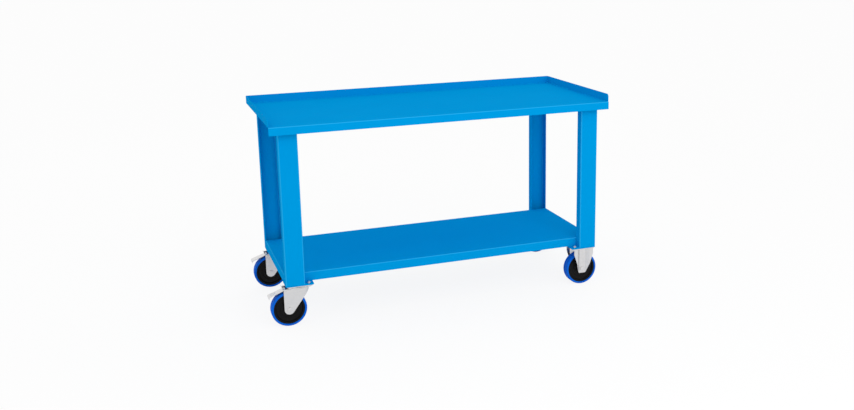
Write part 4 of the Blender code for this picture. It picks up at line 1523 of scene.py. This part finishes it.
@dataclass
class Lamp:
    """Square soft light."""

    name: str
    place: tuple[float, float, float]
    aim: tuple[float, float, float]
    size: float
    power: float

    def build(self) -> None:
        """Adds the lamp, facing its aim. Metal mirrors the white surroundings, and not the lamp."""
        data = bpy.data.lights.new(self.name, "AREA")
        data.size, data.energy = self.size, self.power
        lamp = bpy.data.objects.new(self.name, data)
        lamp.location = self.place
        lamp.visible_glossy = False
        lamp.rotation_euler = (Vector(self.aim) - Vector(self.place)).to_track_quat("-Z", "Y").to_euler()
        bpy.context.scene.collection.objects.link(lamp)


@dataclass
class Studio:
    """White floor and surroundings, soft lamps, and the camera at the photograph's viewing angle."""

    floor_half: float = 200.0
    floor_colour: str = "#F4F4F4"
    floor_seen_white: float = 0.88  # share of the floor's look that is plain white to the camera
    floor_mirrored_white: float = 0.60  # the same share in metal, which mirrors the shadow under the bench
    fill: float = 0.88  # light of the surroundings on the object
    white: str = "#FFFFFF"
    camera_place: tuple[float, float, float] = (-1.275, -4.068, 1.566)  # from the middle of the bench
    camera_yaw: float = radians(20.02)
    camera_pitch: float = radians(13.05)
    camera_roll: float = radians(-0.78)
    focal_pixels: float = 960.8
    picture_width: float = 854.0
    sensor_width: float = 36.0  # millimetres
    shift: tuple[float, float] = (-0.05, -0.05)
    lamps: Sequence[Lamp] = (
        Lamp("key_softbox", (0.6, -3.6, 2.4), (0.0, 0.0, 0.4), 2.6, 42.0),
        Lamp("rear_softbox", (-1.4, 3.6, 2.6), (0.0, 0.0, 0.5), 2.6, 3.0),
    )

    def seen(self, tree: bpy.types.NodeTree, mirrored_share: float) -> bpy.types.NodeSocket:
        """How much a ray shows the surroundings, rather than lights with them.

        Args:
            tree: node tree that takes the nodes.
            mirrored_share: what a ray reflected or let through by the object counts for.

        Returns:
            A value of 1 for rays from the camera, the given one for mirrored rays, and 0 for others.
        """
        path = add_node(tree, "ShaderNodeLightPath").outputs
        inputs = {0: path["Is Glossy Ray"], 1: path["Is Transmission Ray"]}
        either = add_node(tree, "ShaderNodeMath", inputs, operation="MAXIMUM").outputs[0]
        inputs = {0: either, 1: mirrored_share, 2: path["Is Camera Ray"]}
        return add_node(tree, "ShaderNodeMath", inputs, operation="MULTIPLY_ADD").outputs[0]

    def build_floor(self) -> None:
        """Adds the floor: it takes the object's shadow, and is mostly plain white to the camera."""
        material, tree = new_material("matt_white_floor")
        seen = self.seen(tree, self.floor_mirrored_white / self.floor_seen_white)
        inputs = {0: seen, 1: self.floor_seen_white}
        share = add_node(tree, "ShaderNodeMath", inputs, operation="MULTIPLY").outputs[0]
        matt = add_node(tree, "ShaderNodeBsdfDiffuse", {"Color": linear(self.floor_colour)}).outputs[0]
        plain = add_node(tree, "ShaderNodeEmission", {"Strength": 1.0}).outputs[0]
        look = add_node(tree, "ShaderNodeMixShader", {0: share, 1: matt, 2: plain}).outputs[0]
        add_node(tree, "ShaderNodeOutputMaterial", {"Surface": look})
        corners = rectangle(2 * self.floor_half, 2 * self.floor_half)
        surface = Surface()
        surface.add_face(surface.add_points(points_at(corners[:, 0], corners[:, 1], 0)))
        floor = bpy.data.objects.new("studio_floor", surface.to_mesh("studio_floor"))
        floor.data.materials.append(material)
        bpy.context.scene.collection.objects.link(floor)

    def build_world(self) -> None:
        """Sets the surroundings: white where they are seen, dimmer where they light the object."""
        world = bpy.data.worlds.new("white_surroundings")
        bpy.context.scene.world = world
        world.use_nodes = True
        tree = world.node_tree
        tree.nodes.clear()
        inputs = {0: self.seen(tree, 1.0), 1: 1 - self.fill, 2: self.fill}
        strength = add_node(tree, "ShaderNodeMath", inputs, operation="MULTIPLY_ADD").outputs[0]
        inputs = {"Color": linear(self.white), "Strength": strength}
        light = add_node(tree, "ShaderNodeBackground", inputs).outputs[0]
        add_node(tree, "ShaderNodeOutputWorld", {"Surface": light})

    def build_camera(self) -> None:
        """Adds the camera, turned by its yaw from +Y, its pitch below the horizon and its roll."""
        data = bpy.data.cameras.new("camera")
        data.sensor_width = self.sensor_width
        data.lens = self.focal_pixels / self.picture_width * self.sensor_width
        data.shift_x, data.shift_y = self.shift
        data.clip_end = 4 * self.floor_half
        camera = bpy.data.objects.new("camera", data)
        turn = Matrix.Rotation(-self.camera_yaw, 3, "Z")
        turn = turn @ Matrix.Rotation(pi / 2 - self.camera_pitch, 3, "X")
        turn = turn @ Matrix.Rotation(self.camera_roll, 3, "Z")
        place = Vector(self.camera_place) + Vector((middle_of("worktop").x, 0, 0))
        camera.matrix_world = Matrix.LocRotScale(place, turn, None)
        bpy.context.scene.collection.objects.link(camera)
        bpy.context.scene.camera = camera

    def build(self) -> None:
        """Adds the floor, the surroundings, the lamps and the camera."""
        bpy.context.scene.view_settings.view_transform = "Standard"
        self.build_floor()
        self.build_world()
        for lamp in self.lamps:
            lamp.build()
        self.build_camera()


def main() -> None:
    """Dresses the workbench, sub-assembly by sub-assembly."""
    logging.basicConfig(level=logging.INFO, format="%(name)s: %(message)s")
    maker = Maker({slot: finish.build() for slot, finish in FINISHES.items()})
    Worktop().build(maker)
    Shelf().build(maker)
    for node in ("worktop_stiffener_front", "worktop_stiffener_rear", "shelf_stiffener"):
        Stiffener(node).build(maker)
    for side in Side:
        for end in End:
            Leg(side, end).build(maker)
        SwivelCaster(side).build(maker)
        FixedCaster(side).build(maker)
    for name in ("ball_ring_front_left", "ball_ring_rear_left"):
        node = frame["nodes"][name]
        node.data.materials.clear()
        node.data.materials.append(maker.materials[Slot.ZINC])
        LOG.info("%s stays as the CAD has it", name)
    Studio().build()
    LOG.info("%d pieces made", maker.made)


if __name__ == "__main__":
    main()
